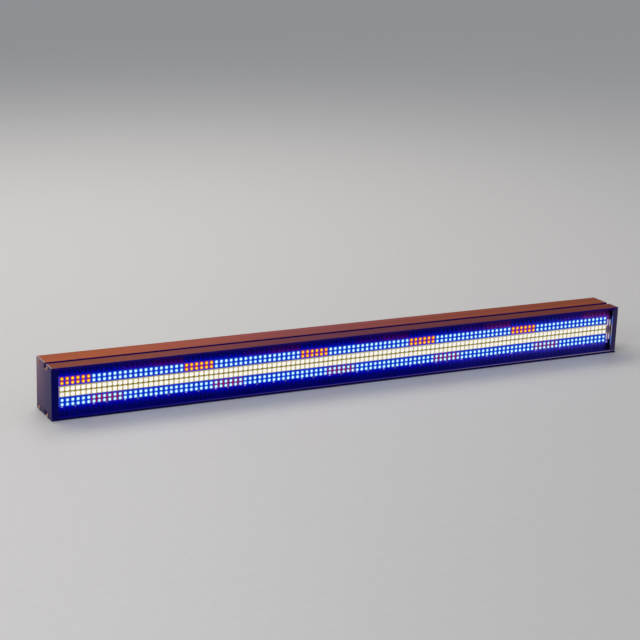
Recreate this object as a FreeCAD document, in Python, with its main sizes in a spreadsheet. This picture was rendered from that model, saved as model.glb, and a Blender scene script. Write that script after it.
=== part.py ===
import FreeCAD, Part
import math
import os
import re

import Sketcher

# LED strip batten for stages: an anodised extrusion one metre long, closed by two folded
# end plates, with a T-slot along its top and bottom. A clear pane covers two rows of white LEDs
# between four rows of RGB LEDs. The mains supply, drivers and controls are behind the LED wall.
#
# X runs along the length, Y from the light side (-) to the connector side (+), Z up.
# The origin is the middle of the footprint, on the surface that the batten stands on.

SIZES = {
    # Overall
    "body_length": 990, "body_depth": 70, "body_height": 79, "edge_chamfer": 0.6, "wall": 2,
    # T-slot for M8 nuts, the same at top and bottom
    "slot_centre": -6, "slot_neck": 8.2, "slot_lip": 2.5, "slot_width": 14, "slot_depth": 6,
    "slot_wall": 2,
    # LED wall and the channels that hold the pane
    "web_front": -21.5, "web_gauge": 2.6, "lip_depth": 2.2, "upper_lip": 2.8, "lower_lip": 3.6,
    "channel_width": 2.3, "channel_cover": 1.6, "rib_gauge": 1.5, "rib_reach": 4.4,
    "pane_gauge": 2, "pane_play": 0.15,
    # Rear seat for the panel
    "rear_recess": 6, "panel_gauge": 2, "panel_play": 0.3, "seat_gauge": 2.5, "seat_reach": 11,
    "seat_hole": 1.55, "panel_hole": 1.8, "panel_screw_inset": 7.5, "panel_screw_pitch": 120,
    # End plates and the bosses that their screws enter
    "plate_gauge": 2, "flange_width": 10.5, "flange_play": 0.3, "relief_height": 1.5,
    "relief_depth": 2.5, "bend_radius": 1.8, "plate_hole": 1.7,
    "boss_front": -17.5, "boss_rear": 22.2, "boss_inset": 4.2, "boss_bore": 1.55,
    "boss_half": 3.5,
    # Screws: shank, head and length
    "screw_shank": 1.45, "screw_head": 2.7, "screw_rise": 1.8, "plate_screw_length": 12,
    "panel_screw_length": 4.4, "board_screw_shank": 0.8, "board_screw_head": 1.6,
    "board_screw_rise": 1.0, "board_screw_length": 4.2, "board_hole": 1.0,
    "board_screw_inset": 1.7,
    # LED boards
    "led_pitch": 8, "pixel_pitch": 48, "board_length": 192, "board_gap": 0.2,
    "board_height": 50.2, "board_gauge": 1.6, "pad_gauge": 0.3, "pad_inset": 4,
    "row_white": 4.125, "row_inner": 12.8, "row_outer": 19.3, "rgb_size": 5.4,
    "white_size": 6.8, "led_rise": 1.5, "chip_length": 2, "chip_height": 1.2, "chip_rise": 0.6,
    "chip_inset": 1.1,
    # Feed board at the right-hand end of the LED boards
    "feed_start": 480.4, "feed_width": 9, "header_width": 5.2, "header_height": 10.5,
    "header_rise": 4.5, "header_offset": 12.2, "header_wall": 0.8, "header_sink": 3.5,
    "socket_rise": 3.6, "socket_height": 11, "feed_slot_width": 5, "feed_slot_height": 36,
    # Mains supply
    "supply_start": -480, "supply_length": 235, "supply_floor": 12.5, "supply_height": 54,
    "supply_depth": 39, "supply_gauge": 1.2, "supply_lift": 4, "supply_margin": 2,
    "supply_board_length": 225, "vent_width": 3, "vent_height": 26, "vent_pitch": 8,
    "supply_window": 12.5, "transformer_start": -390, "transformer_length": 34,
    "transformer_height": 34, "transformer_rise": 26, "winding_rise": 22,
    "can_radius": 9, "can_height": 25, "can_start": -462, "can_pitch": 20,
    "sink_start": -340, "sink_length": 60, "sink_gauge": 3, "sink_rise": 24,
    "sink_pitch": 15, "terminal_start": -262, "terminal_length": 12,
    "terminal_rise": 22, "terminal_height": 44,
    # LED drivers
    "driver_start": -215, "driver_length": 280, "driver_gap": 20, "driver_floor": 14,
    "driver_height": 51, "driver_lift": 6, "spacer_radius": 3, "spacer_inset": 6,
    "coil_size": 12, "coil_rise": 6.5, "coil_pitch": 26, "coil_offset": 20, "coil_row": 13,
    "driver_chip": 6, "driver_chip_rise": 1.2, "driver_plug": 8, "driver_plug_rise": 6.5,
    "driver_plug_height": 40, "driver_vents": 120,
    # Connector row on the rear panel: middles along X, all at half height
    "outlet_place": -196, "inlet_place": -162, "fuse_place": -132, "earth_place": -114,
    "data_outlet_place": -90, "data_inlet_place": -56,
    "frame_half_width": 13, "frame_half_height": 15.5, "frame_rise": 1.5,
    "frame_screw_x": 9.5, "frame_screw_z": 12, "frame_screw_length": 6,
    "barrel_radius": 11.8, "barrel_play": 0.4, "barrel_depth": 22,
    "mains_bore": 9.5, "mains_sink": 15, "mains_collar": 4, "carrier_radius": 5,
    "carrier_length": 9, "blade_half_width": 1.6, "blade_half_gauge": 0.6,
    "blade_length": 8, "blade_ring": 3.2, "inlet_ring": 4.7,
    "data_bore": 8.2, "data_sink": 13, "data_collar": 1.5, "pin_radius": 1.2,
    "pin_ring": 3.8, "pin_length": 7, "insert_radius": 6.8, "contact_hole": 1.4,
    "latch_width": 6, "latch_height": 1.8, "latch_lift": 10, "latch_length": 9,
    "latch_play": 0.3, "latch_sink": 11, "thumb_width": 8, "thumb_gauge": 1.2,
    "thumb_gap": 1.7, "thumb_reach": 4,
    "fuse_barrel": 6.5, "fuse_bore": 3.6, "fuse_flange": 8.5, "fuse_depth": 24,
    "fuse_floor": 1, "fuse_cap_radius": 6.6, "fuse_cap_rise": 3.6, "fuse_cap_gap": 0.3,
    "fuse_stem": 3.2, "fuse_stem_length": 4.3, "fuse_notch": 1.2,
    "cartridge_radius": 2.6, "cartridge_length": 19.6,
    "earth_radius": 2, "earth_nut": 4, "earth_nut_rise": 3, "earth_reach": 5.5,
    "earth_tail": 6,
    # Display and menu buttons
    "display_place": -4, "display_width": 44, "display_height": 22, "display_play": 0.3,
    "control_start": -34, "control_length": 102, "control_floor": 17, "control_height": 45,
    "control_face": 18.6, "module_gauge": 8, "module_margin": 3, "lens_gauge": 1.8,
    "button_start": 28, "button_pitch": 11, "button_radius": 3.5, "button_flange": 4.4,
    "button_flange_gauge": 1, "button_rise": 2, "stem_radius": 1.6, "button_play": 0.3,
    "switch_size": 6, "switch_height": 4, "switch_bore": 1.95, "switch_sink": 1.5,
    "stem_entry": 0.6, "standoff_radius": 2.6, "standoff_inset": 4,
    # Leads: radii, and the levels that they run at behind the LED wall
    "mains_lead": 1.6, "mains_lead_pitch": 6.6, "mains_bend": 3.2, "power_lead": 1.3,
    "power_bend": 5, "supply_lead_pitch": 14, "feed_lead_pitch": 8, "signal_lead": 0.9,
    "signal_lead_pitch": 3, "signal_bend": 2.2, "signal_landing": 6,
    "inlet_run": 3.4, "outlet_run": -0.8, "power_run": -7.5, "signal_run": 4,
}

REAR_FACE = "body_depth/2 - rear_recess"
PANEL_BACK = "body_depth/2 - rear_recess - panel_gauge"
WEB_BACK = "web_front + web_gauge"
BOARD_BACK = "web_front - pad_gauge"
BOARD_FACE = "web_front - pad_gauge - board_gauge"
LED_FACE = "web_front - pad_gauge - board_gauge - led_rise"
MIDDLE = "body_height/2"
INNER_END = "body_length/2 - plate_gauge"
BOARD_COUNT = 5
COLUMNS = 120
PIXELS = 20
PIXELS_PER_BOARD = PIXELS // BOARD_COUNT
VENTS = 26
PANEL_SCREWS_EACH_WAY = 4
CLOSE = 0.01

doc = FreeCAD.newDocument("LedStripBatten")
sheet = doc.addObject("Spreadsheet::Sheet", "Sizes")
for line, (alias, size) in enumerate(SIZES.items(), start=1):
    sheet.set(f"A{line}", alias)
    sheet.set(f"B{line}", str(size))
    sheet.setAlias(f"B{line}", alias)
doc.recompute()

sub_parts = []


def full(text):
    """A size expression with each alias led by the sheet's name."""
    return re.sub(r"[a-z]\w*", lambda word: "Sizes." + word.group(), str(text))


def number(text):
    """The present value of a size expression."""
    return float(sheet.evalExpression(full(text)))


def keep(item, label):
    """Label an object as a sub-part that is written out."""
    item.Label = label
    sub_parts.append(item)
    return item


def new_body(label):
    return keep(doc.addObject("PartDesign::Body", label), label)


def origin_item(body, role):
    return next(item for item in body.Origin.OriginFeatures if item.Role == role)


def place_point(sketch, geometry, point, u, v):
    for kind, text in (("DistanceX", u), ("DistanceY", v)):
        rule = Sketcher.Constraint(kind, -1, 1, geometry, point, number(text))
        index = sketch.addConstraint(rule)
        sketch.setExpression(f"Constraints[{index}]", full(text))


def draw_outline(sketch, points):
    first = sketch.GeometryCount
    spots = [FreeCAD.Vector(number(u), number(v), 0) for u, v in points]
    for start, end in zip(spots, spots[1:] + spots[:1]):
        sketch.addGeometry(Part.LineSegment(start, end), False)
    for i in range(len(points)):
        after = first + (i + 1) % len(points)
        sketch.addConstraint(Sketcher.Constraint("Coincident", first + i, 2, after, 1))
    for i, (u, v) in enumerate(points):
        place_point(sketch, first + i, 1, u, v)


def draw_circle(sketch, u, v, radius):
    centre = FreeCAD.Vector(number(u), number(v), 0)
    circle = Part.Circle(centre, FreeCAD.Vector(0, 0, 1), number(radius))
    geometry = sketch.addGeometry(circle, False)
    place_point(sketch, geometry, 3, u, v)
    index = sketch.addConstraint(Sketcher.Constraint("Radius", geometry, number(radius)))
    sketch.setExpression(f"Constraints[{index}]", full(radius))


def rectangle(u_low, u_high, v_low, v_high):
    return [(u_low, v_low), (u_high, v_low), (u_high, v_high), (u_low, v_high)]


def rectangle_at(u, v, half_width, half_height):
    """A rectangle's corners from its middle."""
    return rectangle(
        f"{u} - ({half_width})", f"{u} + {half_width}",
        f"{v} - ({half_height})", f"{v} + {half_height}",
    )


def layer(body, name, plane, low, high, outlines=(), circles=(), cut=False):
    """Add or cut a slab between two places along the normal of an origin plane.

    The normals of YZ_Plane and XY_Plane point along +X and +Z, and XZ_Plane's along -Y.
    """
    sketch = body.newObject("Sketcher::SketchObject", name + "Sketch")
    sketch.AttachmentSupport = (origin_item(body, plane), [""])
    sketch.MapMode = "FlatFace"
    offset = f"-({high})" if plane == "XZ_Plane" else low
    sketch.setExpression("AttachmentOffset.Base.z", full(offset))
    for points in outlines:
        draw_outline(sketch, points)
    for u, v, radius in circles:
        draw_circle(sketch, u, v, radius)
    kind = "PartDesign::Pocket" if cut else "PartDesign::Pad"
    feature = body.newObject(kind, name)
    feature.Profile = sketch
    feature.setExpression("Length", full(f"({high}) - ({low})"))
    feature.Reversed = cut
    sketch.Visibility = False
    return feature


def repeat(body, name, features, length, occurrences):
    """Repeat features along X, over the length from the first to the last."""
    row = body.newObject("PartDesign::LinearPattern", name)
    row.Originals = features
    row.Direction = (origin_item(body, "X_Axis"), [""])
    row.setExpression("Length", full(length))
    row.Occurrences = occurrences
    body.Tip = row


def block(name, x, y, z):
    """A Part::Box between pairs of places along each axis."""
    box = doc.addObject("Part::Box", name)
    for side, axis, (low, high) in zip(("Length", "Width", "Height"), "xyz", (x, y, z)):
        box.setExpression(side, full(f"({high}) - ({low})"))
        box.setExpression(f"Placement.Base.{axis}", full(low))
    return box


def rod(name, x, y_low, y_high, z, radius):
    """A Part::Cylinder along Y."""
    cylinder = doc.addObject("Part::Cylinder", name)
    turn = FreeCAD.Rotation(FreeCAD.Vector(1, 0, 0), -90)
    cylinder.Placement = FreeCAD.Placement(FreeCAD.Vector(0, 0, 0), turn)
    cylinder.setExpression("Radius", full(radius))
    cylinder.setExpression("Height", full(f"({y_high}) - ({y_low})"))
    for axis, text in zip("xyz", (x, y_low, z)):
        cylinder.setExpression(f"Placement.Base.{axis}", full(text))
    return cylinder


def group(label, members):
    """Identical or related solids that share one sub-part."""
    together = doc.addObject("Part::Compound", label)
    together.Links = members
    return keep(together, label)


def span(start, reach, direction):
    """The low and high ends of a stretch that leaves start in the direction +1 or -1."""
    if direction > 0:
        return start, f"{start} + {reach}"
    return f"{start} - ({reach})", start


def screws(label, plane, places, seat, outward, kind, length):
    """Screws whose heads stand on the seat and whose shanks run the other way."""
    body = new_body(label)
    heads = [(u, v, f"{kind}_head") for u, v in places]
    shanks = [(u, v, f"{kind}_shank") for u, v in places]
    layer(body, "Heads", plane, *span(seat, f"{kind}_rise", outward), circles=heads)
    layer(body, "Shanks", plane, *span(seat, length, -outward), circles=shanks)


# ---------------------------------------------------------------- housing and covers

SLOT_LOW = "slot_centre - slot_width/2"
SLOT_HIGH = "slot_centre + slot_width/2"
NECK_LOW = "slot_centre - slot_neck/2"
NECK_HIGH = "slot_centre + slot_neck/2"
SLOT_FLOOR = "slot_lip + slot_depth"
CHANNEL_BACK = "-body_depth/2 + lip_depth + channel_width"


def slot_run():
    """The T-slot from its front edge to its rear edge, as (y, distance in from the face)."""
    return [
        (NECK_LOW, "0"),
        (NECK_LOW, "slot_lip"),
        (SLOT_LOW, "slot_lip"),
        (SLOT_LOW, SLOT_FLOOR),
        (SLOT_HIGH, SLOT_FLOOR),
        (SLOT_HIGH, "slot_lip"),
        (NECK_HIGH, "slot_lip"),
        (NECK_HIGH, "0"),
    ]


def outer_run(lip):
    """Half of the section from the front lip round the outside to the rear seat and back to
    the LED wall, as (y, distance in from the face)."""
    return [
        ("-body_depth/2", lip),
        ("-body_depth/2", "edge_chamfer"),
        ("-body_depth/2 + edge_chamfer", "0"),
        *slot_run(),
        ("body_depth/2 - edge_chamfer", "0"),
        ("body_depth/2", "edge_chamfer"),
        ("body_depth/2", "wall"),
        (PANEL_BACK, "wall"),
        (PANEL_BACK, "seat_reach"),
        (PANEL_BACK + " - seat_gauge", "seat_reach"),
        (PANEL_BACK + " - seat_gauge", "boss_inset + boss_half"),
        ("boss_rear - boss_half", "boss_inset + boss_half"),
        ("boss_rear - boss_half", "wall"),
        (SLOT_HIGH + " + slot_wall", "wall"),
        (SLOT_HIGH + " + slot_wall", SLOT_FLOOR + " + slot_wall"),
        (WEB_BACK, SLOT_FLOOR + " + slot_wall"),
    ]


def inner_run(lip):
    """The same half from the front of the LED wall out to the lip."""
    return [
        ("web_front", "wall"),
        (CHANNEL_BACK + " + rib_gauge", "wall"),
        (CHANNEL_BACK + " + rib_gauge", "rib_reach"),
        (CHANNEL_BACK, "rib_reach"),
        (CHANNEL_BACK, "channel_cover"),
        ("-body_depth/2 + lip_depth", "channel_cover"),
        ("-body_depth/2 + lip_depth", lip),
    ]


def from_top(run):
    """A run of section points seen from the upper face, in the opposite order."""
    return [(y, f"body_height - ({inset})") for y, inset in reversed(run)]


def boss_places():
    return [
        (y, z)
        for y in ("boss_front", "boss_rear")
        for z in ("boss_inset", "body_height - boss_inset")
    ]


def panel_screw_places():
    return [
        (f"{i} * panel_screw_pitch", z)
        for i in range(-PANEL_SCREWS_EACH_WAY, PANEL_SCREWS_EACH_WAY + 1)
        for z in ("panel_screw_inset", "body_height - panel_screw_inset")
    ]


def board_screw_places(first=0, last=PIXELS):
    """Two small screws to each six-column pixel, at the boards' lower and upper edges."""
    reach = "board_height/2 - board_screw_inset"
    return [
        (f"{i + 0.5 - PIXELS / 2} * pixel_pitch", f"{MIDDLE} {sign} ({reach})")
        for i in range(first, last)
        for sign in "-+"
    ]


def make_housing():
    body = new_body("housing_extrusion")
    section = outer_run("lower_lip") + from_top(outer_run("upper_lip"))
    section += from_top(inner_run("upper_lip")) + inner_run("lower_lip")
    bores = [(y, z, "boss_bore") for y, z in boss_places()]
    layer(body, "Section", "YZ_Plane", f"-({INNER_END})", INNER_END, [section], bores)
    seat_holes = [(x, z, "seat_hole") for x, z in panel_screw_places()]
    layer(body, "SeatHoles", "XZ_Plane", PANEL_BACK + " - seat_gauge", PANEL_BACK,
          circles=seat_holes, cut=True)
    board_holes = [(x, z, "board_hole") for x, z in board_screw_places()]
    feed_slot = rectangle_at("feed_start + feed_width/2", MIDDLE,
                             "feed_slot_width/2", "feed_slot_height/2")
    layer(body, "WallOpenings", "XZ_Plane", "web_front", WEB_BACK,
          [feed_slot], board_holes, cut=True)


def make_end_plate(label, side):
    """A side plate folded forward into a narrow front flange that holds the pane's end."""
    body = new_body(label)
    outer, inner = f"{side} * body_length/2", f"{side} * ({INNER_END})"
    across = span(outer, "plate_gauge", -side)
    face = [("-body_depth/2", "0"), *slot_run(), ("body_depth/2", "0")]
    holes = [(y, z, "plate_hole") for y, z in boss_places()]
    layer(body, "Side", "YZ_Plane", *across, [face + from_top(face)], holes)
    bottom, top = "lower_lip + flange_play", "body_height - upper_lip - flange_play"
    flange_x = span(inner, "flange_width - plate_gauge", -side)
    layer(body, "Flange", "XZ_Plane", *span("-body_depth/2", "plate_gauge", 1),
          [rectangle(*flange_x, bottom, top)])
    front = "-body_depth/2 - plate_gauge", "-body_depth/2 + relief_depth"
    reliefs = [
        rectangle(*front, *span(bottom, "relief_height", -1)),
        rectangle(*front, *span(top, "relief_height", 1)),
    ]
    relieved = layer(body, "Reliefs", "YZ_Plane", *across, reliefs, cut=True)
    doc.recompute()
    fold = [
        f"Edge{i}"
        for i, edge in enumerate(body.Shape.Edges, start=1)
        if abs(edge.CenterOfMass.x - number(outer)) < CLOSE
        and abs(edge.CenterOfMass.y + number("body_depth/2")) < CLOSE
        and edge.Length > number("body_height/2")
    ]
    bend = body.newObject("PartDesign::Fillet", "Bend")
    bend.Base = (relieved, fold)
    bend.setExpression("Radius", full("bend_radius"))


def make_window():
    end = f"{INNER_END} - pane_play"
    rim = "channel_cover + pane_play"
    keep(block("front_window", (f"-({end})", end),
               span("-body_depth/2 + lip_depth + pane_play", "pane_gauge", 1),
               (rim, f"body_height - ({rim})")), "front_window")


def make_rear_panel():
    body = new_body("rear_panel")
    end, rim = f"{INNER_END} - panel_play", "wall + panel_play"
    outline = rectangle(f"-({end})", end, rim, f"body_height - ({rim})")
    display = rectangle_at("display_place", MIDDLE, "display_width/2 + display_play",
                           "display_height/2 + display_play")
    holes = [(x, z, "panel_hole") for x, z in panel_screw_places()]
    holes += [(x, z, "panel_hole") for x, z in connector_screw_places()]
    holes += [(x, MIDDLE, "barrel_radius + barrel_play") for x in CONNECTORS]
    holes += [(x, MIDDLE, "button_radius + button_play") for x in BUTTONS.values()]
    holes.append(("fuse_place", MIDDLE, "fuse_barrel + barrel_play"))
    holes.append(("earth_place", MIDDLE, "earth_radius + barrel_play"))
    layer(body, "Sheet", "XZ_Plane", PANEL_BACK, REAR_FACE, [outline, display], holes)
    vents = [
        rectangle_at(start, MIDDLE, "vent_width/2", "vent_height/2")
        for start in ("supply_start + supply_gauge + vent_pitch", "driver_vents")
    ]
    slots = layer(body, "Vents", "XZ_Plane", PANEL_BACK, REAR_FACE, vents, cut=True)
    repeat(body, "VentRow", [slots], f"{VENTS - 1} * vent_pitch", VENTS)


# ---------------------------------------------------------------- LED boards


def make_led_board(index):
    body = new_body(f"led_board_{index + 1}")
    start = f"{index - BOARD_COUNT / 2} * board_length"
    outline = rectangle(f"{start} + board_gap/2", f"{start} + board_length - board_gap/2",
                        f"{MIDDLE} - board_height/2", f"{MIDDLE} + board_height/2")
    holes = board_screw_places(PIXELS_PER_BOARD * index, PIXELS_PER_BOARD * (index + 1))
    layer(body, "Board", "XZ_Plane", BOARD_FACE, BOARD_BACK, [outline],
          [(x, z, "board_hole") for x, z in holes])


def make_leds(label, rows, size):
    """Rows of square LED packages along all the boards."""
    body = new_body(label)
    first = f"-{(COLUMNS - 1) / 2} * led_pitch"
    packages = layer(body, "Packages", "XZ_Plane", LED_FACE, BOARD_FACE,
                     [rectangle_at(first, f"{MIDDLE} {row}", f"{size}/2", f"{size}/2")
                      for row in rows])
    repeat(body, "Columns", [packages], f"{COLUMNS - 1} * led_pitch", COLUMNS)


def make_pixel_chips():
    """One small resistor under the first column of each pixel."""
    body = new_body("pixel_chips")
    middle = f"-{(COLUMNS - 1) / 2} * led_pitch"
    floor = f"{MIDDLE} - board_height/2 + chip_inset"
    chip = layer(body, "Chip", "XZ_Plane", *span(BOARD_FACE, "chip_rise", -1),
                 [rectangle(f"{middle} - chip_length/2", f"{middle} + chip_length/2",
                            floor, f"{floor} + chip_height")])
    repeat(body, "Row", [chip], f"{PIXELS - 1} * pixel_pitch", PIXELS)


def make_thermal_pads():
    pads = [
        block(f"Pad{i}", (f"{i - BOARD_COUNT / 2} * board_length + pad_inset",
                          f"{i + 1 - BOARD_COUNT / 2} * board_length - pad_inset"),
              (BOARD_BACK, "web_front"),
              (f"{MIDDLE} - board_height/2 + pad_inset",
               f"{MIDDLE} + board_height/2 - pad_inset"))
        for i in range(BOARD_COUNT)
    ]
    group("thermal_pads", pads)


def make_feed_board():
    """The small board that feeds the LED boards through a slot in the LED wall."""
    reach = "board_height/2"
    keep(block("feed_board", span("feed_start", "feed_width", 1), (BOARD_FACE, BOARD_BACK),
               (f"{MIDDLE} - {reach}", f"{MIDDLE} + {reach}")), "feed_board")
    left = "feed_start + header_wall"
    headers = new_body("feed_headers")
    middles = [f"{MIDDLE} {sign} header_offset" for sign in "-+"]
    centre = f"{left} + header_width/2"
    layer(headers, "Shells", "XZ_Plane", *span(BOARD_FACE, "header_rise", -1),
          [rectangle_at(centre, z, "header_width/2", "header_height/2") for z in middles])
    layer(headers, "Mouths", "XZ_Plane",
          *span(BOARD_FACE + " - header_rise", "header_sink", 1),
          [rectangle_at(centre, z, "header_width/2 - header_wall",
                        "header_height/2 - header_wall") for z in middles], cut=True)
    keep(block("feed_socket", span(left, "header_width", 1),
               span(BOARD_FACE, "socket_rise", -1),
               (f"{MIDDLE} - socket_height/2", f"{MIDDLE} + socket_height/2")), "feed_socket")


# ---------------------------------------------------------------- mains supply

SUPPLY_BACK = WEB_BACK + " + supply_gauge"
SUPPLY_MOUTH = WEB_BACK + " + supply_depth"
SUPPLY_END = "supply_start + supply_length"
SUPPLY_TOP = "supply_floor + supply_height"
SUPPLY_BOARD = SUPPLY_BACK + " + supply_lift + board_gauge"


def make_supply_case():
    body = new_body("supply_case")
    outline = rectangle("supply_start", SUPPLY_END, "supply_floor", SUPPLY_TOP)
    inside = rectangle("supply_start + supply_gauge", SUPPLY_END + " - supply_gauge",
                       "supply_floor + supply_gauge", SUPPLY_TOP + " - supply_gauge")
    layer(body, "Case", "XZ_Plane", WEB_BACK, SUPPLY_MOUTH, [outline])
    layer(body, "Inside", "XZ_Plane", SUPPLY_BACK, SUPPLY_MOUTH, [inside], cut=True)
    inset = "supply_gauge + spacer_inset"
    feet = [
        (x, z, "spacer_radius")
        for x in (f"supply_start + {inset}", f"{SUPPLY_END} - ({inset})")
        for z in (f"supply_floor + {inset}", f"{SUPPLY_TOP} - ({inset})")
    ]
    layer(body, "Feet", "XZ_Plane", *span(SUPPLY_BACK, "supply_lift", 1), circles=feet)
    window = rectangle_at("0", MIDDLE, "supply_window", "supply_window")
    layer(body, "WireWindow", "YZ_Plane", *span(SUPPLY_END, "supply_gauge", -1),
          [window], cut=True)


def make_supply_cover():
    body = new_body("supply_cover")
    outline = rectangle("supply_start", SUPPLY_END, "supply_floor", SUPPLY_TOP)
    across = span(SUPPLY_MOUTH, "supply_gauge", 1)
    layer(body, "Sheet", "XZ_Plane", *across, [outline])
    vent = rectangle_at("supply_start + supply_gauge + vent_pitch", MIDDLE,
                        "vent_width/2", "vent_height/2")
    slots = layer(body, "Vents", "XZ_Plane", *across, [vent], cut=True)
    repeat(body, "VentRow", [slots], f"{VENTS - 1} * vent_pitch", VENTS)


def make_supply_parts():
    keep(block("supply_board", span("supply_start + supply_gauge + supply_margin",
                                    "supply_board_length", 1),
               span(SUPPLY_BOARD, "board_gauge", -1),
               ("supply_floor + supply_gauge + supply_margin",
                SUPPLY_TOP + " - supply_gauge - supply_margin")), "supply_board")
    core = doc.addObject("Part::MultiFuse", "supply_transformer")
    length, height = "transformer_length/2", "transformer_height/2"
    centre = "transformer_start + transformer_length/2"
    core.Shapes = [
        block("Core", (f"{centre} - {length}", f"{centre} + {length}"),
              span(SUPPLY_BOARD, "transformer_rise", 1),
              (f"{MIDDLE} - {height}/2", f"{MIDDLE} + {height}/2")),
        rod("Winding", centre, SUPPLY_BOARD, f"{SUPPLY_BOARD} + winding_rise",
            MIDDLE, height),
    ]
    keep(core, "supply_transformer")
    cans = [
        rod(f"Can{i}", f"can_start + {i // 2} * can_pitch", SUPPLY_BOARD,
            f"{SUPPLY_BOARD} + can_height", f"{MIDDLE} {'-+'[i % 2]} can_pitch/2", "can_radius")
        for i in range(4)
    ]
    group("supply_capacitors", cans)
    sinks = [
        block(f"Sink{i}", span("sink_start", "sink_length", 1),
              span(SUPPLY_BOARD, "sink_rise", 1),
              span(f"{MIDDLE} + {place} * sink_pitch", "sink_gauge", 1))
        for i, place in enumerate((-1, 0, 1))
    ]
    group("supply_heat_sinks", sinks)
    keep(block("supply_terminals", span("terminal_start", "terminal_length", 1),
               span(SUPPLY_BOARD, "terminal_rise", 1),
               (f"{MIDDLE} - terminal_height/2", f"{MIDDLE} + terminal_height/2")),
         "supply_terminals")


# ---------------------------------------------------------------- LED drivers

DRIVER_BACK = WEB_BACK + " + driver_lift"
DRIVER_FACE = DRIVER_BACK + " + board_gauge"
DRIVERS = {"left": "driver_start", "right": "driver_start + driver_length + driver_gap"}
COILS = 10


def make_drivers():
    spacers = []
    for side, start in DRIVERS.items():
        label = f"driver_board_{side}"
        keep(block(label, span(start, "driver_length", 1), (DRIVER_BACK, DRIVER_FACE),
                   span("driver_floor", "driver_height", 1)), label)
        for end in ("spacer_inset", "driver_length - spacer_inset"):
            for rise in ("spacer_inset", "driver_height - spacer_inset"):
                spacers.append(rod(f"Spacer{len(spacers)}", f"{start} + {end}", WEB_BACK,
                                   DRIVER_BACK, f"driver_floor + {rise}", "spacer_radius"))
    group("driver_spacers", spacers)
    middle = "driver_floor + driver_height/2"
    for label, rows, size, rise in (
        ("driver_coils", ("- coil_row", "+ coil_row"), "coil_size/2", "coil_rise"),
        ("driver_chips", ("",), "driver_chip/2", "driver_chip_rise"),
    ):
        body = new_body(label)
        first = [
            rectangle_at(f"{start} + coil_offset", f"{middle} {row}", size, size)
            for start in DRIVERS.values()
            for row in rows
        ]
        pad = layer(body, "First", "XZ_Plane", *span(DRIVER_FACE, rise, 1), first)
        repeat(body, "Row", [pad], f"{COILS - 1} * coil_pitch", COILS)
    plugs = [
        block(f"Plug{i}", x, span(DRIVER_FACE, "driver_plug_rise", 1),
              (f"{middle} - driver_plug_height/2", f"{middle} + driver_plug_height/2"))
        for i, x in enumerate(
            ends
            for start in DRIVERS.values()
            for ends in (span(start, "driver_plug", 1),
                         span(f"{start} + driver_length", "driver_plug", -1))
        )
    ]
    group("driver_terminals", plugs)


# ---------------------------------------------------------------- connectors on the rear panel

CONNECTORS = ("outlet_place", "inlet_place", "data_outlet_place", "data_inlet_place")
FRAME_FACE = REAR_FACE + " + frame_rise"


def connector_screw_places():
    return [
        (f"{x} {first} frame_screw_x", f"{MIDDLE} {second} frame_screw_z")
        for x in CONNECTORS
        for first, second in ("-+", "+-")
    ]


def make_connector(label, x, bore, collar, sink):
    """A square-flanged panel connector with a round recess in its front."""
    body = new_body(label)
    frame = rectangle_at(x, MIDDLE, "frame_half_width", "frame_half_height")
    holes = [(u, v, "panel_hole") for u, v in connector_screw_places() if u.startswith(x)]
    layer(body, "Frame", "XZ_Plane", REAR_FACE, FRAME_FACE, [frame], holes)
    barrel = [(x, MIDDLE, "barrel_radius")]
    layer(body, "Barrel", "XZ_Plane", REAR_FACE + " - barrel_depth", REAR_FACE,
          circles=barrel)
    layer(body, "Collar", "XZ_Plane", *span(FRAME_FACE, collar, 1), circles=barrel)
    layer(body, "Recess", "XZ_Plane", *span(f"{FRAME_FACE} + {collar}", sink, -1),
          circles=[(x, MIDDLE, bore)], cut=True)
    return body


def ring_places(x, radius):
    """Three places round a connector's middle: one below and two above."""
    across = math.cos(math.radians(30))
    return [(x, f"{MIDDLE} - {radius}")] + [
        (f"{x} {sign} {radius} * {across}", f"{MIDDLE} + {radius}/2") for sign in "-+"
    ]


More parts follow.
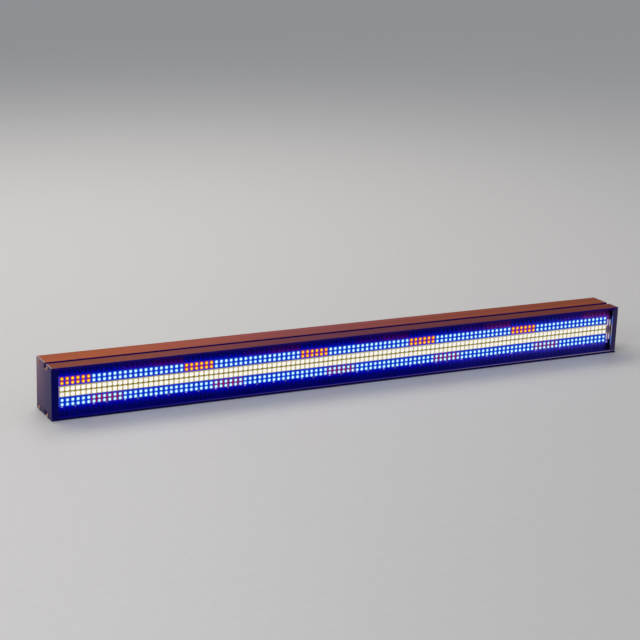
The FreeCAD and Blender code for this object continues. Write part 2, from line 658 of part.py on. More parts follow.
def make_connectors():
    mains_floor = FRAME_FACE + " + mains_collar - mains_sink"
    outlet = make_connector("mains_outlet", "outlet_place", "mains_bore", "mains_collar",
                            "mains_sink")
    layer(outlet, "Carrier", "XZ_Plane", *span(mains_floor, "carrier_length", 1),
          circles=[("outlet_place", MIDDLE, "carrier_radius")])
    slots = [
        rectangle_at(u, v, "blade_half_gauge", "blade_half_width")
        for u, v in ring_places("outlet_place", "blade_ring")
    ]
    layer(outlet, "Contacts", "XZ_Plane", mains_floor, f"{mains_floor} + carrier_length",
          slots, cut=True)
    make_connector("mains_inlet", "inlet_place", "mains_bore", "mains_collar", "mains_sink")
    blades = [
        block(f"Blade{i}", (f"{u} - blade_half_gauge", f"{u} + blade_half_gauge"),
              span(mains_floor, "blade_length", 1),
              (f"{v} - blade_half_width", f"{v} + blade_half_width"))
        for i, (u, v) in enumerate(ring_places("inlet_place", "inlet_ring"))
    ]
    group("mains_blades", blades)

    data_floor = FRAME_FACE + " + data_collar - data_sink"
    make_connector("data_inlet", "data_inlet_place", "data_bore", "data_collar", "data_sink")
    pins = [
        rod(f"Pin{i}", u, data_floor, f"{data_floor} + pin_length", v, "pin_radius")
        for i, (u, v) in enumerate(ring_places("data_inlet_place", "pin_ring"))
    ]
    group("data_pins", pins)
    outlet = make_connector("data_outlet", "data_outlet_place", "data_bore", "data_collar",
                            "data_sink")
    layer(outlet, "Insert", "XZ_Plane", data_floor, FRAME_FACE,
          circles=[("data_outlet_place", MIDDLE, "insert_radius")])
    contacts = [(u, v, "contact_hole") for u, v in ring_places("data_outlet_place", "pin_ring")]
    layer(outlet, "Contacts", "XZ_Plane", *span(FRAME_FACE, "pin_length", -1),
          circles=contacts, cut=True)
    lift = f"{MIDDLE} + latch_lift"
    slot = rectangle_at("data_outlet_place", lift, "latch_width/2 + latch_play",
                        "latch_height/2 + latch_play")
    layer(outlet, "LatchSlot", "XZ_Plane", f"{FRAME_FACE} - latch_sink",
          f"{FRAME_FACE} + data_collar", [slot], cut=True)
    screws("connector_screws", "XZ_Plane", connector_screw_places(), FRAME_FACE, 1,
           "screw", "frame_screw_length")


def make_latch():
    """The push tab that frees a data plug: a blade in the connector's slot and a thumb pad."""
    lift = f"{MIDDLE} + latch_lift"
    bottom = f"{lift} - latch_height/2"
    latch = doc.addObject("Part::MultiFuse", "data_outlet_latch")
    latch.Shapes = [
        block("LatchBlade", ("data_outlet_place - latch_width/2",
                             "data_outlet_place + latch_width/2"),
              (f"{FRAME_FACE} - latch_length", f"{FRAME_FACE} + data_collar + thumb_gap"),
              span(bottom, "latch_height", 1)),
        block("LatchThumb", ("data_outlet_place - thumb_width/2",
                             "data_outlet_place + thumb_width/2"),
              span(f"{FRAME_FACE} + data_collar + thumb_gap", "thumb_gauge", 1),
              span(bottom, "thumb_reach", 1)),
    ]
    keep(latch, "data_outlet_latch")


def make_fuse():
    axis = ("fuse_place", MIDDLE)
    holder = new_body("fuse_holder")
    tail = f"{REAR_FACE} - fuse_depth"
    layer(holder, "Flange", "XZ_Plane", REAR_FACE, FRAME_FACE, circles=[(*axis, "fuse_flange")])
    layer(holder, "Barrel", "XZ_Plane", tail, REAR_FACE, circles=[(*axis, "fuse_barrel")])
    layer(holder, "Bore", "XZ_Plane", f"{tail} + fuse_floor", FRAME_FACE,
          circles=[(*axis, "fuse_bore")], cut=True)
    cap = new_body("fuse_cap")
    cap_face = f"{FRAME_FACE} + fuse_cap_gap"
    stem_end = f"{cap_face} - fuse_stem_length"
    layer(cap, "Knob", "XZ_Plane", *span(cap_face, "fuse_cap_rise", 1),
          circles=[(*axis, "fuse_cap_radius")])
    layer(cap, "Stem", "XZ_Plane", stem_end, cap_face, circles=[(*axis, "fuse_stem")])
    notch = rectangle_at(*axis, "fuse_cap_radius * 2", "fuse_notch/2")
    layer(cap, "Notch", "XZ_Plane", *span(f"{cap_face} + fuse_cap_rise", "fuse_notch", -1),
          [notch], cut=True)
    keep(rod("fuse_cartridge", "fuse_place", f"{stem_end} - cartridge_length", stem_end,
             MIDDLE, "cartridge_radius"), "fuse_cartridge")


def make_earth_stud():
    stud = doc.addObject("Part::MultiFuse", "earth_stud")
    nuts = []
    for name, y in (("NutOutside", REAR_FACE), ("NutInside", f"{PANEL_BACK} - earth_nut_rise")):
        nut = doc.addObject("Part::Prism", name)
        nut.Polygon = 6
        nut.Placement.Rotation = FreeCAD.Rotation(FreeCAD.Vector(1, 0, 0), -90)
        nut.setExpression("Circumradius", full("earth_nut"))
        nut.setExpression("Height", full("earth_nut_rise"))
        for side, text in zip("xyz", ("earth_place", y, MIDDLE)):
            nut.setExpression(f"Placement.Base.{side}", full(text))
        nuts.append(nut)
    stud.Shapes = nuts + [
        rod("Stud", "earth_place", f"{PANEL_BACK} - earth_tail", f"{REAR_FACE} + earth_reach",
            MIDDLE, "earth_radius")
    ]
    keep(stud, "earth_stud")


# ---------------------------------------------------------------- display and menu

BUTTONS = {
    name: f"button_start + {i} * button_pitch"
    for i, name in enumerate(("mode", "up", "down", "enter"))
}


def make_display():
    keep(block("control_board", span("control_start", "control_length", 1),
               span("control_face", "board_gauge", -1),
               span("control_floor", "control_height", 1)), "control_board")
    posts = [
        rod(f"Post{i}", x, "control_face", PANEL_BACK, z, "standoff_radius")
        for i, (x, z) in enumerate(
            (x, z)
            for x in ("control_start + standoff_inset",
                      "control_start + control_length - standoff_inset")
            for z in ("control_floor + standoff_inset",
                      "control_floor + control_height - standoff_inset")
        )
    ]
    group("control_posts", posts)
    for label, margin, front, back in (
        ("display_module", "module_margin", "control_face", "control_face + module_gauge"),
        ("display_lens", "0", "control_face + module_gauge",
         "control_face + module_gauge + lens_gauge"),
    ):
        keep(block(label, (f"display_place - display_width/2 - {margin}",
                           f"display_place + display_width/2 + {margin}"), (front, back),
                   (f"{MIDDLE} - display_height/2 - {margin}",
                    f"{MIDDLE} + display_height/2 + {margin}")), label)


def make_buttons():
    """Round caps, each with a flange behind the panel and a stem that enters its switch."""
    switch_face = "control_face + switch_height"
    flange_face = PANEL_BACK + " - button_play"
    flange_back = flange_face + " - button_flange_gauge"
    switches = new_body("menu_switches")
    layer(switches, "Cases", "XZ_Plane", "control_face", switch_face,
          [rectangle_at(x, MIDDLE, "switch_size/2", "switch_size/2") for x in BUTTONS.values()])
    layer(switches, "Bores", "XZ_Plane", *span(switch_face, "switch_sink", -1),
          circles=[(x, MIDDLE, "switch_bore") for x in BUTTONS.values()], cut=True)
    for name, x in BUTTONS.items():
        body = new_body(f"menu_button_{name}")
        layer(body, "Cap", "XZ_Plane", flange_face, f"{REAR_FACE} + button_rise",
              circles=[(x, MIDDLE, "button_radius")])
        layer(body, "Flange", "XZ_Plane", flange_back, flange_face,
              circles=[(x, MIDDLE, "button_flange")])
        layer(body, "Stem", "XZ_Plane", f"{switch_face} - stem_entry", flange_back,
              circles=[(x, MIDDLE, "stem_radius")])


# ---------------------------------------------------------------- leads inside the housing


def lead(points, radius, bend):
    """A round lead along straight runs that are joined by arcs of one radius."""
    spots = [FreeCAD.Vector(*(number(text) for text in point)) for point in points]
    edges = []
    start = spots[0]
    for before, corner, after in zip(spots, spots[1:], spots[2:]):
        back = (before - corner).normalize()
        ahead = (after - corner).normalize()
        half_turn = (FreeCAD.Vector(0, 0, 0) - back).getAngle(ahead) / 2
        reach = number(bend) * math.tan(half_turn)
        near, far = corner + back * reach, corner + ahead * reach
        inward = (back + ahead).normalize()
        middle = corner + inward * (number(bend) / math.cos(half_turn) - number(bend))
        edges.append(Part.LineSegment(start, near).toShape())
        edges.append(Part.Arc(near, middle, far).toShape())
        start = far
    edges.append(Part.LineSegment(start, spots[-1]).toShape())
    heading = (spots[1] - spots[0]).normalize()
    section = Part.Wire(Part.makeCircle(number(radius), spots[0], heading))
    return Part.Wire(edges).makePipeShell([section], True, False)


def keep_leads(label, leads):
    bundle = doc.addObject("Part::Feature", label)
    bundle.Shape = Part.makeCompound(leads)
    bundle.Placement = FreeCAD.Placement()
    keep(bundle, label)


def make_mains_leads():
    """Three wires from each mains connector to the supply's terminals."""
    barrel_end = REAR_FACE + " - barrel_depth"
    terminals = "terminal_start + terminal_length"
    wires = []
    for x, run, lift in (("inlet_place", "inlet_run", "0"),
                         ("outlet_place", "outlet_run", "mains_lead_pitch/2")):
        for i in (-1, 0, 1):
            z = f"{MIDDLE} + {lift} + {i} * mains_lead_pitch"
            route = [(x, barrel_end, z), (x, run, z), (terminals, run, z)]
            wires.append(lead(route, "mains_lead", "mains_bend"))
    keep_leads("mains_leads", wires)


def make_power_leads():
    """Pairs of wires from the supply through the drivers to the feed board."""
    right = "driver_start + driver_length * 2 + driver_gap"
    joint = "driver_start + driver_length"
    wires = []
    for i in (-0.5, 0.5):
        z = f"{MIDDLE} + {i} * supply_lead_pitch"
        wires.append(lead([("terminal_start + terminal_length", "power_run", z),
                           ("driver_start", "power_run", z)], "power_lead", "power_bend"))
    feed = "feed_start + feed_width/2"
    for i in (-1.5, -0.5, 0.5, 1.5):
        z = f"{MIDDLE} + {i} * feed_lead_pitch"
        wires.append(lead([(joint, "power_run", z), (f"{joint} + driver_gap", "power_run", z)],
                          "power_lead", "power_bend"))
        wires.append(lead([(right, "power_run", z), (feed, "power_run", z),
                           (feed, BOARD_BACK, z)], "power_lead", "power_bend"))
    keep_leads("power_leads", wires)


def make_signal_leads():
    """Wires from the data connectors to the control board, and from it to the drivers."""
    barrel_end = REAR_FACE + " - barrel_depth"
    board_back = "control_face - board_gauge"
    wires = []
    for x, first, landing in (("data_outlet_place", -2, 1), ("data_inlet_place", 0, 2)):
        for i in (0, 1):
            z = f"{MIDDLE} + {first + i} * signal_lead_pitch"
            end = f"control_start + {landing} * signal_landing + {i} * signal_lead_pitch"
            route = [(x, barrel_end, z), (x, "signal_run", z), (end, "signal_run", z),
                     (end, board_back, z)]
            wires.append(lead(route, "signal_lead", "signal_bend"))
    keep_leads("signal_leads", wires)


# ---------------------------------------------------------------- the whole batten


def make_all():
    make_housing()
    for side_name, side in (("left", -1), ("right", 1)):
        make_end_plate(f"end_plate_{side_name}", side)
        screws(f"end_screws_{side_name}", "YZ_Plane", boss_places(),
               f"{side} * body_length/2", side, "screw", "plate_screw_length")
    make_window()
    make_rear_panel()
    screws("rear_panel_screws", "XZ_Plane", panel_screw_places(), REAR_FACE, 1, "screw",
           "panel_screw_length")
    for index in range(BOARD_COUNT):
        make_led_board(index)
    make_leds("rgb_leds_upper", ("+ row_inner", "+ row_outer"), "rgb_size")
    make_leds("white_leds", ("- row_white", "+ row_white"), "white_size")
    make_leds("rgb_leds_lower", ("- row_outer", "- row_inner"), "rgb_size")
    screws("led_board_screws", "XZ_Plane", board_screw_places(), BOARD_FACE, -1,
           "board_screw", "board_screw_length")
    make_pixel_chips()
    make_thermal_pads()
    make_feed_board()
    make_supply_case()
    make_supply_cover()
    make_supply_parts()
    make_drivers()
    make_connectors()
    make_latch()
    make_fuse()
    make_earth_stud()
    make_display()
    make_buttons()
    make_mains_leads()
    make_power_leads()
    make_signal_leads()


def check_all():
    """Stop if a feature failed, a sub-part isn't sound, or a cut removed nothing."""
    for item in doc.Objects:
        if {"Invalid", "Error"} & set(item.State):
            raise RuntimeError(f"{item.Label} failed: {item.State}")
        if item.TypeId == "PartDesign::Pocket":
            before = item.BaseFeature.Shape.Volume
            if not item.Shape.Volume < before - CLOSE:
                owner = item.getParentGeoFeatureGroup().Label
                raise RuntimeError(f"{item.Label} cuts nothing from {owner}")
    for item in sub_parts:
        if item.Shape.isNull() or not item.Shape.isValid():
            raise RuntimeError(f"{item.Label} isn't a sound solid")


make_all()
doc.recompute()
check_all()
os.makedirs("parts", exist_ok=True)
for item in sub_parts:
    item.Shape.exportStep(f"parts/{item.Label}.step")
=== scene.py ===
import math

import bmesh
import bpy
from mathutils import Matrix, Vector


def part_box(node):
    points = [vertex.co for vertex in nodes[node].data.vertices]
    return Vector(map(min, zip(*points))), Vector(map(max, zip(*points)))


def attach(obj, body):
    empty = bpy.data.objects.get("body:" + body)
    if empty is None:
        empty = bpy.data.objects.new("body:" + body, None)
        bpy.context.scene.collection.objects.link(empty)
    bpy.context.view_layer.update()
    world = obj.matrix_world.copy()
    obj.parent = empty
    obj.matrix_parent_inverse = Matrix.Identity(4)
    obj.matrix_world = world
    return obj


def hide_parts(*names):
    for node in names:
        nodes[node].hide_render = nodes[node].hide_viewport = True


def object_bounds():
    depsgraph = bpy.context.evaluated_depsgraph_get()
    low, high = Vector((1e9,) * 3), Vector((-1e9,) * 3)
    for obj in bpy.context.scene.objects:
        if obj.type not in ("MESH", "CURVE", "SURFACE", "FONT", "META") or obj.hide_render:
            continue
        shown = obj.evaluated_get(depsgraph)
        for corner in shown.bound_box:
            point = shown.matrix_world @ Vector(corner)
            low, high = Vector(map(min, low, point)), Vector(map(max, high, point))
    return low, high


# The looks of the LED strip batten: X along its length, -Y out of the light side, Z up, in metres.

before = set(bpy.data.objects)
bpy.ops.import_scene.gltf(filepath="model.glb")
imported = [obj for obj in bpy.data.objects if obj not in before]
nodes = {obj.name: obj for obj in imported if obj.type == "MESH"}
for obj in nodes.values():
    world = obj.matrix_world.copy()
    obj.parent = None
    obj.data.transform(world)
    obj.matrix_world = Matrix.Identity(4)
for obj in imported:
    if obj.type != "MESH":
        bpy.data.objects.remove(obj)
cad_low, cad_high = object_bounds()
MM = 0.001

FRONT, TOP = cad_low.y, cad_high.z
PANEL_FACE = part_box("rear_panel")[1].y
SLOT_Y = -6 * MM  # middle of the T-slots
FLANGE_GAUGE = 1.5 * MM

# The LED grid: colours change every pixel of six columns and repeat every four pixels.
COLUMNS = 120
PITCH = 8 * MM
PIXEL = 6
PERIOD = 4 * PIXEL
FIRST_X = -(COLUMNS - 1) / 2 * PITCH
GRID_END = COLUMNS / 2 * PITCH
MIDDLE_Z = (cad_low.z + cad_high.z) / 2
rgb_low, rgb_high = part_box("rgb_leds_upper")
GRID_HALF = rgb_high.z - MIDDLE_Z
RGB_ROWS_HALF = (rgb_high.z - rgb_low.z) / 2
board_low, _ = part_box("led_board_1")
BOARD_FACE = board_low.y


# ---------------------------------------------------------------- node materials


def scaled(colour, share, lift=0.0):
    """A colour made darker or lighter, with no channel past 1."""
    return tuple(min(1.0, c * share + lift) for c in colour)


class Shader:
    """A material with one Principled shader, and short ways to wire its nodes."""

    def __init__(self, name):
        self.material = bpy.data.materials.new(name)
        self.material.use_nodes = True
        self.tree = self.material.node_tree
        self.surface = self.tree.nodes["Principled BSDF"]
        self.coordinates = self.tree.nodes.new("ShaderNodeTexCoord").outputs["Object"]
        self.height = None

    def add(self, kind, **settings):
        """A new shader node with its settings."""
        item = self.tree.nodes.new("ShaderNode" + kind)
        for key, value in settings.items():
            setattr(item, key, value)
        return item

    def plug(self, value, socket):
        """Link an output to a socket, or set the socket's value."""
        if isinstance(value, bpy.types.NodeSocket):
            self.tree.links.new(value, socket)
        else:
            socket.default_value = value

    def set(self, **values):
        """Set or link inputs of the Principled shader, such as base_color or roughness."""
        for key, value in values.items():
            self.plug(value, self.surface.inputs[key.replace("_", " ").title()
                                                 .replace("Ior", "IOR")])
        return self

    def math(self, operation, a, b=0.0):
        """One Math node's output."""
        item = self.add("Math", operation=operation)
        self.plug(a, item.inputs[0])
        self.plug(b, item.inputs[1])
        return item.outputs[0]

    def all_of(self, *masks):
        """The product of masks: 1 where every one is."""
        result = masks[0]
        for mask in masks[1:]:
            result = self.math("MULTIPLY", result, mask)
        return result

    def any_of(self, *masks):
        """The highest of masks."""
        result = masks[0]
        for mask in masks[1:]:
            result = self.math("MAXIMUM", result, mask)
        return result

    def split(self, vector=None):
        """X, Y and Z of a vector, or of the object's coordinates."""
        item = self.add("SeparateXYZ")
        self.plug(vector or self.coordinates, item.inputs[0])
        return item.outputs

    def normal(self):
        """The surface's normal as three outputs."""
        return self.split(self.add("NewGeometry").outputs["Normal"])

    def stretch(self, x, y, z):
        """The object's coordinates with each axis scaled by itself."""
        item = self.add("Mapping")
        self.plug(self.coordinates, item.inputs["Vector"])
        item.inputs["Scale"].default_value = (x, y, z)
        return item.outputs[0]

    def noise(self, scale, detail=2.0, vector=None, rough=0.5):
        """Cloudy noise from 0 to 1."""
        item = self.add("TexNoise")
        self.plug(vector or self.coordinates, item.inputs["Vector"])
        for name, value in (("Scale", scale), ("Detail", detail), ("Roughness", rough)):
            item.inputs[name].default_value = value
        return item.outputs["Fac"]

    def speckle(self, scale):
        """The distance to the nearest of scattered points."""
        item = self.add("TexVoronoi")
        self.plug(self.coordinates, item.inputs["Vector"])
        item.inputs["Scale"].default_value = scale
        return item.outputs["Distance"]

    def between(self, value, low, high, to_low=0.0, to_high=1.0):
        """Map value from low..high to to_low..to_high, clamped."""
        item = self.add("MapRange")
        for index, number in enumerate((value, low, high, to_low, to_high)):
            self.plug(number, item.inputs[index])
        return item.outputs[0]

    def blend(self, share, first, second):
        """The first colour where share is 0 and the second where it is 1."""
        item = self.add("Mix", data_type="RGBA")
        self.plug(share, item.inputs["Factor"])
        for colour, socket in ((first, item.inputs[6]), (second, item.inputs[7])):
            if isinstance(colour, tuple):
                colour = (*colour, 1.0)
            self.plug(colour, socket)
        return item.outputs[2]

    def traces(self):
        """1 in the gaps between copper fills that follow the LED columns."""
        x, _, z = self.split()
        fill_height, gap = 4.2 * MM, 0.25 * MM
        across = self.add("CombineXYZ")
        self.plug(x, across.inputs[0])
        self.plug(z, across.inputs[1])
        fill = self.add("TexBrick", offset=0.3, squash=1.0)
        self.plug(across.outputs[0], fill.inputs["Vector"])
        for key, value in (("Scale", 1.0), ("Mortar Size", gap), ("Mortar Smooth", 0.3),
                           ("Brick Width", PITCH), ("Row Height", fill_height)):
            fill.inputs[key].default_value = value
        return fill.outputs["Fac"]

    def bump(self, height, distance, strength=1.0):
        """Raise the surface by height; later bumps stand on earlier ones."""
        item = self.add("Bump")
        item.inputs["Distance"].default_value = distance
        item.inputs["Strength"].default_value = strength
        self.plug(height, item.inputs["Height"])
        if self.height is not None:
            self.plug(self.height, item.inputs["Normal"])
        self.height = item.outputs[0]
        self.plug(self.height, self.surface.inputs["Normal"])
        return self

    def edges(self, radius):
        """1 near a sharp edge and 0 on the flats, from rounded against plain normals."""
        rounded = self.add("Bevel", samples=4)
        rounded.inputs["Radius"].default_value = radius
        plain = self.add("NewGeometry").outputs["Normal"]
        item = self.add("VectorMath", operation="DOT_PRODUCT")
        self.plug(rounded.outputs[0], item.inputs[0])
        self.plug(plain, item.inputs[1])
        return self.between(item.outputs["Value"], 0.97, 0.8)


def bronze_with_painted_light(s, upright, lines):
    """Bronze anodising with painted light on the top's upward faces: a warm painted sheen on the
    rear strip, painted shade darker in front, painted violet and warm reflections changing along
    X; other faces a plain darker brown.
    """
    x, y, z = s.split()
    # Painted light along X: a violet reflection in the middle, painted shade towards the left end
    # and red-orange painted light towards the right.
    middle = s.between(s.math("ABSOLUTE", x), 0.40, 0.05, 0.0, 0.7)
    to_left = s.between(x, -0.1, -0.5, 0.0, 0.3)
    to_right = s.between(x, 0.0, 0.5, 0.0, 0.35)

    # Rear of the slot: a warm painted sheen over the die lines.
    rear = s.blend(s.between(lines, 0.3, 0.7), (0.400, 0.080, 0.014), (0.560, 0.125, 0.030))
    rear = s.blend(middle, rear, (0.560, 0.135, 0.200))
    rear = s.blend(s.between(x, -0.1, 0.15, 0.0, 0.35), rear, (0.90, 0.14, 0.02))

    front = s.blend(s.between(lines, 0.3, 0.7), (0.240, 0.045, 0.024), (0.310, 0.064, 0.040))
    front = s.blend(middle, front, (0.310, 0.056, 0.185))
    # Painted shade, dark violet, along the top's front edge.
    front = s.blend(s.between(y, FRONT + 7 * MM, FRONT + MM, 0.0, 0.6), front,
                    (0.09, 0.020, 0.085))
    front = s.blend(to_left, front, (0.05, 0.0, 0.0))
    front = s.blend(to_right, front, (0.65, 0.01, 0.0))

    bands = s.noise(1.0, 2.0, s.stretch(1.2, 210, 210))
    streaks = s.noise(1.0, 2.0, s.stretch(1.5, 650, 650))
    bronze_and_painted_light = s.blend(s.between(y, SLOT_Y - 5 * MM, SLOT_Y - 3 * MM), front, rear)
    bronze_and_painted_light = s.blend(s.between(bands, 0.4, 0.65, 0.0, 0.6), bronze_and_painted_light, (0.28, 0.060, 0.022))
    bronze_and_painted_light = s.blend(s.between(streaks, 0.45, 0.65, 0.0, 0.35), bronze_and_painted_light, (0.16, 0.030, 0.022))
    # Painted shade towards the left end.
    bronze_and_painted_light = s.blend(s.between(x, -0.2, -0.5, 0.0, 0.25), bronze_and_painted_light, (0.20, 0.050, 0.020))
    # Only the upward faces of the top carry this painted light; all other faces get one plain
    # darker colour.
    top = s.all_of(s.between(upright, 0.1, 0.5), s.between(z, 60 * MM, 70 * MM))
    return s.blend(top, (0.130, 0.055, 0.042), bronze_and_painted_light)


def anodised_extrusion():
    """Bronze anodised outside with die lines along X and painted light on the top; painted shade
    near black on the lips' front faces, in the trough and in the slot neck, with painted violet
    light towards the rear; painted LED glow in the trough and on the lips; a painted highlight
    along the sill; edge wear with painted highlights.
    """
    s = Shader("anodised_extrusion")
    x, y, z = s.split()
    _, facing, upright = s.normal()
    lines = s.noise(1.0, 3.0, s.stretch(3, 2600, 2600), 0.6)
    bronze_and_painted_light = bronze_with_painted_light(s, upright, lines)

    skin_low, skin_high, neck_half = 0.4 * MM, 1.4 * MM, 4.2 * MM
    inside = s.all_of(s.between(y, FRONT + 1.4 * MM, FRONT + 2.4 * MM),
                      s.between(y, PANEL_FACE + MM, PANEL_FACE - 0.5 * MM),
                      s.between(z, TOP - skin_low, TOP - skin_high),
                      s.between(z, skin_low, skin_high))
    lip = s.all_of(s.between(facing, -0.5, -0.65),
                   s.between(y, FRONT + 5 * MM, FRONT + 3 * MM))
    sill = s.all_of(s.between(upright, 0.7, 0.9), s.between(z, 6 * MM, 5 * MM),
                    s.between(y, FRONT + 3 * MM, FRONT + 2 * MM))
    neck = s.between(s.math("ABSOLUTE", s.math("SUBTRACT", y, SLOT_Y)),
                     neck_half + 0.05 * MM, neck_half - 0.05 * MM)
    # The trough, the slot neck and the lips' front faces are painted shade: near black towards the
    # front, painted violet light towards the rear.
    dark = s.any_of(inside, lip, neck)
    by_slot = s.between(y, SLOT_Y - 11 * MM, SLOT_Y - 9 * MM)
    black = s.blend(by_slot, (0.004, 0.003, 0.006), (0.040, 0.008, 0.180))
    colour = s.blend(dark, bronze_and_painted_light, black)
    # The sill is near black; its look is a painted highlight in the emission below.
    colour = s.blend(sill, colour, (0.002, 0.002, 0.004))
    # Lighter warm edges: edge wear and a painted highlight, weak along the very front.
    wear_and_highlight = s.all_of(s.edges(0.35 * MM), s.math("SUBTRACT", 1.0, inside),
                    s.between(y, FRONT + 2 * MM, FRONT + 4 * MM, 0.1, 0.5))
    colour = s.blend(wear_and_highlight, colour, (0.40, 0.24, 0.17))
    s.set(base_color=colour, metallic=s.between(dark, 0.0, 1.0, 0.8, 0.0), anisotropic=0.7,
          specular_ior_level=0.01, roughness=s.between(lines, 0.2, 0.8, 0.34, 0.50))
    tangent = s.add("Tangent", direction_type="RADIAL", axis="X")
    s.plug(tangent.outputs[0], s.surface.inputs["Tangent"])
    s.bump(lines, 0.02 * MM, 0.5)

    # Painted LED light: a glow in the trough's front part and a blue glow on the lips' front
    # faces.
    tint, level = spilled_light(s)
    level = s.all_of(level, inside, s.between(y, SLOT_Y - 10 * MM, SLOT_Y - 12 * MM))
    lip_glow = s.blend(s.between(z, 30 * MM, 50 * MM), (0.001, 0.001, 0.045),
                       (0.005, 0.001, 0.090))
    tint = s.blend(lip, tint, lip_glow)
    # Painted highlight along the sill: blue at the left, lilac in the middle, warm beige at the
    # right.
    painted_sill_highlight = s.blend(s.between(x, -0.45, -0.05), (0.003, 0.002, 0.060), (0.075, 0.045, 0.110))
    painted_sill_highlight = s.blend(s.between(x, 0.1, 0.45), painted_sill_highlight, (0.270, 0.205, 0.135))
    tint = s.blend(sill, tint, painted_sill_highlight)
    s.set(emission_color=tint, emission_strength=s.any_of(level, lip, sill))
    return s.material


def powder_coat(name):
    """Grey-violet powder coat with painted light: darker and bluer at the front and low down,
    paler to the rear and top; a flange near black as painted shade on the left and dark grey on
    the right, with painted LED light on its inner edge and a painted blue haze.
    """
    s = Shader(name)
    x, y, z = s.split()
    across, _, upright = s.normal()
    grain = s.noise(1500.0, 2.0)
    flecks = s.between(s.speckle(650.0), 0.16, 0.05)
    cloud = s.noise(14.0, 3.0)
    # Painted light: dark blue-violet at the front and low down, paler and warmer to the rear and
    # up the plate.
    shoulder = 75 * MM
    front = s.blend(s.between(z, 10 * MM, shoulder), (0.014, 0.006, 0.085),
                    (0.022, 0.010, 0.100))
    rear = s.blend(s.between(z, 0.0, shoulder), (0.040, 0.018, 0.095), (0.280, 0.155, 0.205))
    along = s.between(y, FRONT + 3 * MM, -FRONT - 3 * MM)
    colour = s.blend(s.math("POWER", along, 1.6), front, rear)
    lighter = s.blend(0.3, colour, (0.34, 0.27, 0.40))
    colour = s.blend(s.between(grain, 0.35, 0.65, 0.0, 0.35), colour, lighter)
    colour = s.blend(s.between(cloud, 0.4, 0.7, 0.0, 0.2), colour, lighter)
    colour = s.blend(s.all_of(flecks, 0.35), colour, lighter)

    # The flange: painted shade, near black on the left and dark grey on the right.
    flange = s.between(y, FRONT + 2.0 * MM, FRONT + 0.4 * MM)
    right = s.between(x, -0.2, 0.3)
    coat = s.blend(right, (0.003, 0.002, 0.005), (0.050, 0.034, 0.045))
    colour = s.blend(flange, colour, coat)
    # Lighter edges and upward faces: edge wear with a painted highlight, beige on the plate, dark
    # violet on the flange.
    wear_and_highlight = s.all_of(s.edges(0.4 * MM), s.between(grain, 0.35, 0.6, 0.35, 0.9),
                    s.between(flange, 0.0, 1.0, 1.0, 0.4))
    wear_and_highlight = s.any_of(wear_and_highlight, s.between(upright, 0.8, 0.95, 0.0, 0.8))
    colour = s.blend(wear_and_highlight, colour, s.blend(flange, (0.46, 0.37, 0.34), (0.10, 0.08, 0.16)))
    s.set(base_color=colour, roughness=s.between(grain, 0.3, 0.7, 0.42, 0.6),
          metallic=s.between(flange, 0.0, 1.0, 0.2, 0.9), specular_ior_level=0.2)
    s.bump(grain, 0.05 * MM, 0.5).bump(flecks, 0.03 * MM, 0.3)

    # Painted LED light: on the flange's inner edge beside the grid, and a faint blue haze over the
    # whole flange.
    inward = s.all_of(s.math("SIGN", x), s.math("MULTIPLY", across, -1.0))
    off = s.math("ABSOLUTE", s.math("SUBTRACT", z, MIDDLE_Z))
    edge = s.all_of(s.between(inward, 0.7, 0.9),
                    s.between(y, FRONT + 5 * MM, FRONT + 3 * MM),
                    s.between(off, GRID_HALF + 6 * MM, GRID_HALF - MM))
    glow = s.blend(s.between(off, 12 * MM, 8 * MM), (0.06, 0.18, 0.75), (0.29, 0.28, 0.36))
    haze = s.blend(right, (0.001, 0.001, 0.060), (0.006, 0.004, 0.045))
    s.set(emission_color=s.blend(edge, haze, glow), emission_strength=s.any_of(edge, flange))
    return s.material


def metal(name, colour, roughness, grain=900.0):
    """Machined or pressed metal with faint cloudy tone and fine scratches."""
    s = Shader(name)
    cloud = s.noise(grain / 6, 3.0)
    scratch = s.noise(1.0, 3.0, s.stretch(grain * 0.2, grain, grain * 2.5), 0.6)
    s.set(base_color=s.blend(s.between(cloud, 0.3, 0.7), scaled(colour, 0.7), colour),
          metallic=1.0,
          roughness=s.between(scratch, 0.3, 0.7, roughness * 0.8, roughness * 1.3))
    s.bump(scratch, 0.01 * MM, 0.4)
    return s.material


def plastic(name, colour, roughness, grain=1100.0, lift=1.5):
    """Moulded plastic with a fine eroded texture and slightly lighter edges."""
    s = Shader(name)
    texture = s.noise(grain, 3.0)
    shade = s.blend(s.between(texture, 0.35, 0.7, 0.0, 0.6), colour,
                    scaled(colour, lift, 0.004))
    # Lighter edges: edge wear and a painted highlight.
    wear_and_highlight = s.all_of(s.edges(0.25 * MM), 0.25)
    shade = s.blend(wear_and_highlight, shade, scaled(colour, 2.2, 0.05))
    s.set(base_color=shade, roughness=s.between(texture, 0.3, 0.7, roughness * 0.85,
                                                roughness * 1.15))
    s.bump(texture, 0.03 * MM, 0.4)
    return s.material


def clear_sheet(name, tint, alpha, roughness=0.02):
    """A smoked clear sheet: a faint mirror over what lies behind it, with fine dust."""
    s = Shader(name)
    dust = s.between(s.noise(420.0, 4.0), 0.62, 0.8)
    smear = s.noise(12.0, 2.0, s.stretch(0.6, 1, 1.8))
    s.set(base_color=s.blend(dust, tint, scaled(tint, 3)), metallic=0.9, alpha=alpha,
          roughness=s.between(smear, 0.4, 0.8, roughness, roughness * 5))
    return s.material


def lit_pane(name, glow):
    """A pane so clear that only its smears and dust show, lit by the LEDs behind it."""
    s = Shader(name)
    dust = s.between(s.noise(420.0, 4.0), 0.60, 0.8, 0.0, 0.6)
    smear = s.between(s.noise(12.0, 2.0, s.stretch(0.6, 1, 1.8)), 0.35, 0.8, 0.1, 0.5)
    s.set(base_color=(0.0, 0.0, 0.0, 1.0), specular_ior_level=0.0, alpha=0.05,
          emission_color=(*glow, 1.0), emission_strength=s.math("ADD", dust, smear))
    return s.material


